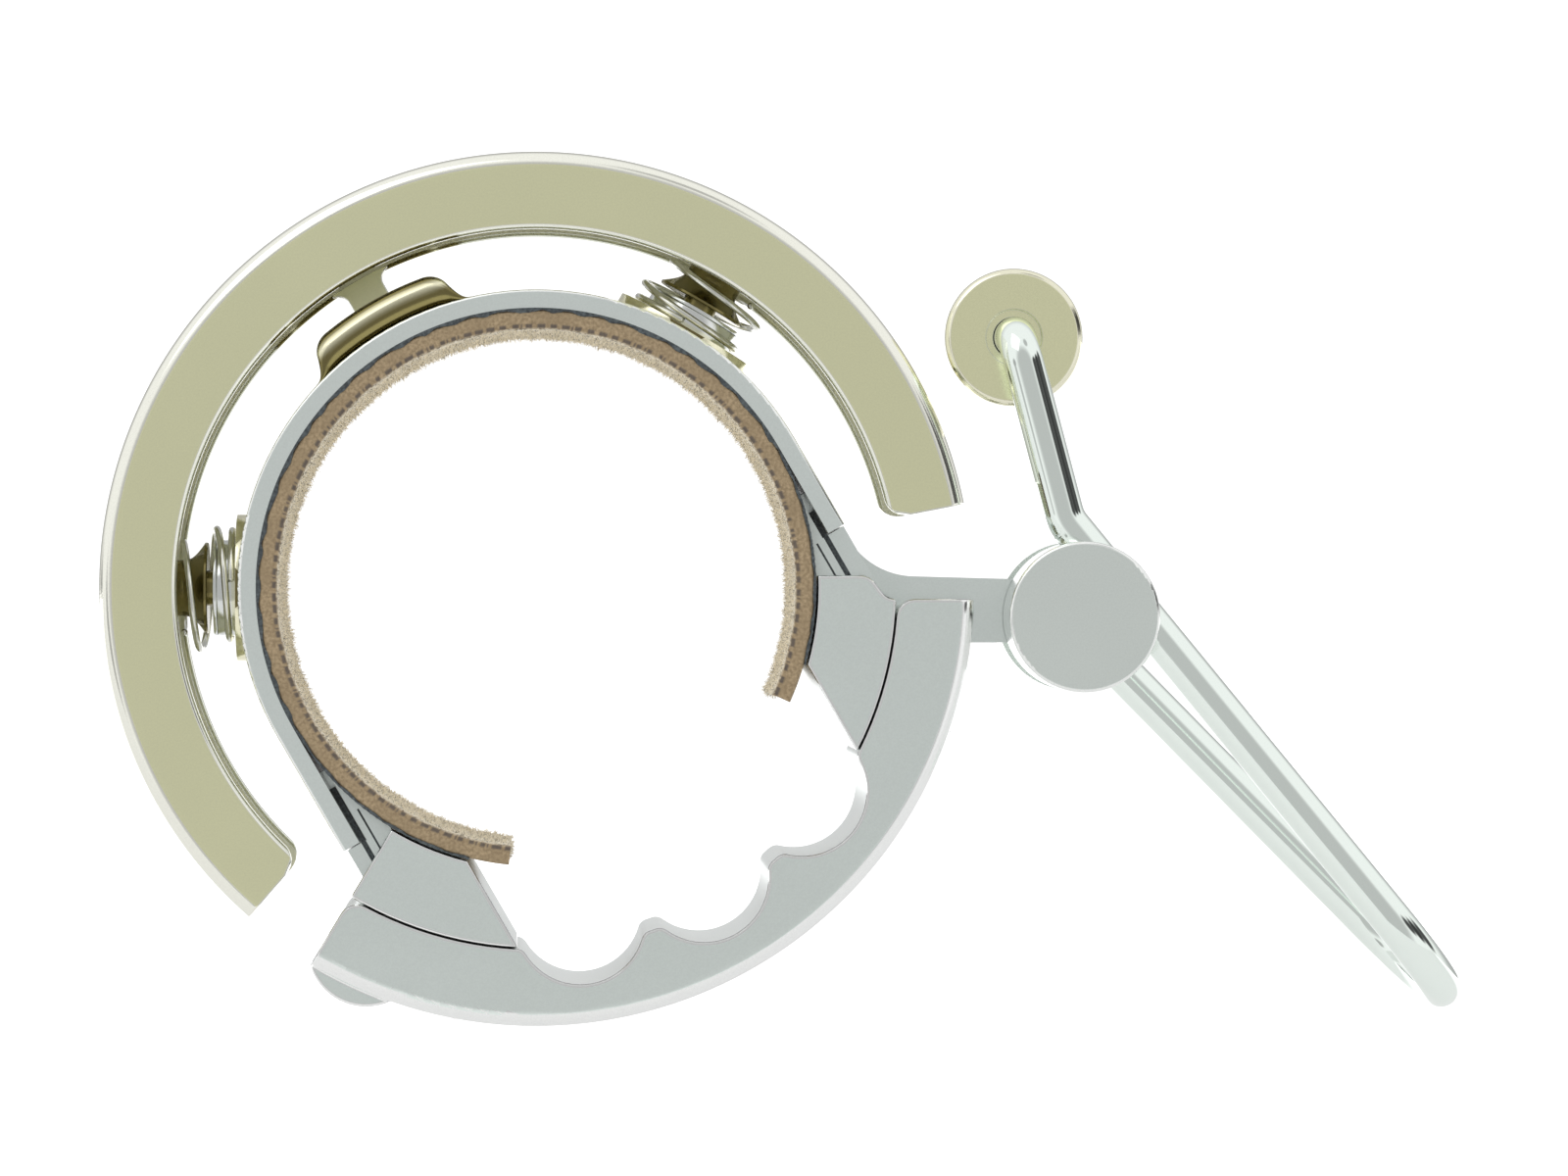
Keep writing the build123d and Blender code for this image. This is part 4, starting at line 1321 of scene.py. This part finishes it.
def nap_group() -> bpy.types.NodeTree:
    """Geometry nodes: thin fibres that stand on the faces with a nap.

    Returns:
        The tree.
    """
    group = bpy.data.node_groups.new("nap", "GeometryNodeTree")
    for label, kind in (("Geometry", "NodeSocketGeometry"), ("Density", FLOAT), ("Length", FLOAT),
                        ("Thickness", FLOAT), ("Seed", "NodeSocketInt"), ("Material", "NodeSocketMaterial")):
        group.interface.new_socket(name=label, in_out="INPUT", socket_type=kind)
    group.interface.new_socket(name="Geometry", in_out="OUTPUT", socket_type="NodeSocketGeometry")
    graph = Graph(group)
    source, sink = graph.add("NodeGroupInput"), graph.add("NodeGroupOutput")
    nap = graph.add("GeometryNodeInputNamedAttribute", {"Name": "nap"}, data_type="FLOAT")
    furry = graph.add("FunctionNodeCompare", {0: nap.outputs[0], 1: 0.85}, data_type="FLOAT",
                      operation="GREATER_THAN")
    points = graph.add("GeometryNodeDistributePointsOnFaces", {
        "Mesh": source.outputs["Geometry"], "Selection": furry.outputs[0],
        "Density": source.outputs["Density"], "Seed": source.outputs["Seed"],
    })
    fibre = graph.add("GeometryNodeMeshCone", {
        "Vertices": 3, "Side Segments": 1, "Radius Top": 0.0, "Radius Bottom": source.outputs["Thickness"],
        "Depth": source.outputs["Length"],
    }, fill_type="NONE")
    lean = graph.add("FunctionNodeRandomValue", {0: (-0.95, -0.95, 0.0), 1: (0.95, 0.95, 6.3),
                                                 "Seed": source.outputs["Seed"]}, data_type="FLOAT_VECTOR")
    turned_fibre = graph.add("FunctionNodeRotateRotation", {
        "Rotation": points.outputs["Rotation"], "Rotate By": lean.outputs[0]}, rotation_space="LOCAL")
    size = graph.add("FunctionNodeRandomValue", {2: 0.3, 3: 1.0, "Seed": 8}, data_type="FLOAT")
    placed = graph.add("GeometryNodeInstanceOnPoints", {
        "Points": points.outputs["Points"], "Instance": fibre.outputs["Mesh"],
        "Rotation": turned_fibre.outputs[0], "Scale": size.outputs[1],
    })
    real = graph.add("GeometryNodeRealizeInstances", {"Geometry": placed.outputs[0]})
    painted = graph.add("GeometryNodeSetMaterial", {"Geometry": real.outputs[0],
                                                    "Material": source.outputs["Material"]})
    graph.feed(sink.inputs["Geometry"], painted.outputs[0])
    return group


@dataclass(frozen=True)
class Station:
    """One place along a mount's wire: turns so far, height, radius and shift to the crown, in mm."""

    turn: float
    along: float
    radius: float
    shift: float


WIRE_STATIONS = (
    Station(0.2, 18.9, 3.4, 0.2), Station(1.25, 19.2, 3.45, 0.2), Station(1.5, 20.0, 3.6, 0.1),
    Station(1.75, 20.45, 3.7, 0.0), Station(2.2, 21.3, 3.6, -0.3), Station(2.5, 22.1, 3.2, -0.4),
    Station(2.75, 22.2, 2.8, -0.1), Station(3.1, 21.9, 2.75, 0.0),
)


@dataclass
class Mount:
    """One sprung mount of the ring: its trumpet post and its wire; sizes in mm."""

    palette: Palette
    side: str
    angle: float
    head_low: float = 19.15
    head_high: float = 19.55
    head: float = 1.9
    stem: float = 1.1
    flange: float = 20.47
    wide: float = 2.85
    flare_top: float = 22.0
    neck: float = 1.75
    seat: float = 23.4
    top: float = 25.78
    flare_steps: int = 14
    wire: float = 0.22
    turn_steps: int = 90
    ease: int = 12

    def build(self) -> None:
        """Makes the post and the wire."""
        self.make_post()
        self.make_wire()

    @property
    def out(self) -> Vector:
        """Direction away from the bore."""
        return DATUM.polar(1.0, self.angle)

    @property
    def to_crown(self) -> Vector:
        """Direction along the strap, towards the crown."""
        return DATUM.polar(1.0, self.angle + (90.0 if self.angle < 90.0 else -90.0))

    def make_post(self) -> None:
        """Makes the trumpet post with its captive head."""
        low, high, head, edge = self.head_low, self.head_high, self.head, 0.05
        flange, wide, seat = self.flange, self.wide, self.flange + 0.2
        stations = [(low, 0.02), (low, head - edge), (low + edge, head), (high - edge, head),
                    (high, head - edge), (high, self.stem), (flange, self.stem), (flange, wide - 0.06),
                    (flange + 0.06, wide), (seat, wide)]
        for step in range(1, self.flare_steps + 1):
            share = step / self.flare_steps
            narrow = (1.0 - math.sin(share * math.pi / 2)) ** 1.15
            stations.append((seat + (self.flare_top - seat) * share, self.neck + (wide - self.neck) * narrow))
        stations += [(self.seat, self.neck), (self.top, self.neck), (self.top, 0.02)]
        obj = turned(f"{self.side}_ring_post_shown", self.out, [(a * MM, r * MM) for a, r in stations])
        Piece(obj, (f"{self.side}_ring_post",), self.palette).finish(rims=False)

    def make_wire(self) -> None:
        """Makes the spring wire: turns round the ferrule, then a loop that rises to the neck."""
        path = []
        for low, high in zip(WIRE_STATIONS, WIRE_STATIONS[1:]):
            count = max(8, round((high.turn - low.turn) * self.turn_steps))
            for step in range(count):
                share = step / count
                around = math.tau * (low.turn + (high.turn - low.turn) * share) + math.pi
                path.append((around, low.along + (high.along - low.along) * share,
                             low.radius + (high.radius - low.radius) * share,
                             low.shift + (high.shift - low.shift) * share))
        points = []
        for i in range(0, len(path), 2):
            near = path[max(0, i - self.ease):i + self.ease + 1]
            around, along, radius, shift = (sum(row[k] for row in near) / len(near) for k in range(4))
            points.append(self.out * (along * MM)
                          + self.to_crown * ((shift + radius * math.cos(around)) * MM)
                          + Vector((0.0, radius * math.sin(around) * MM, 0.0)))
        obj = tube_along(f"{self.side}_mount_coil_shown", points, self.wire * MM, sides=12)
        Piece(obj, (f"{self.side}_mount_coil",), self.palette).finish(angle=60.0)


@dataclass
class Mounts:
    """Both ring mounts, by side and degrees round the bore."""

    palette: Palette
    places: tuple[tuple[str, float], ...] = (("left", 150.0), ("right", 30.0))

    def build(self) -> None:
        """Makes each mount."""
        for side, angle in self.places:
            Mount(self.palette, side, angle).build()


@dataclass
class PlainNodes:
    """CAD nodes that are shown as they are, in their finishes."""

    palette: Palette

    def build(self) -> None:
        """Paints every CAD node that no piece stands for."""
        for name, node in frame["nodes"].items():
            if node.hide_render:
                continue
            material = self.palette[SLOT_OF[name]]
            for place in node.material_slots:
                place.material = material
            if not node.material_slots:
                node.data.materials.append(material)


def main() -> None:
    """Builds the bell and its studio."""
    logging.basicConfig(level=logging.INFO, format="%(name)s %(message)s")
    palette = Palette()
    builders = [Studio(), CadPieces(palette), Ring(palette), Keeper(palette), Liner(palette),
                Mounts(palette), Striker(palette), PlainNodes(palette)]
    for builder in builders:
        builder.build()
        LOG.info("built %s", type(builder).__name__)


if __name__ == "__main__":
    main()
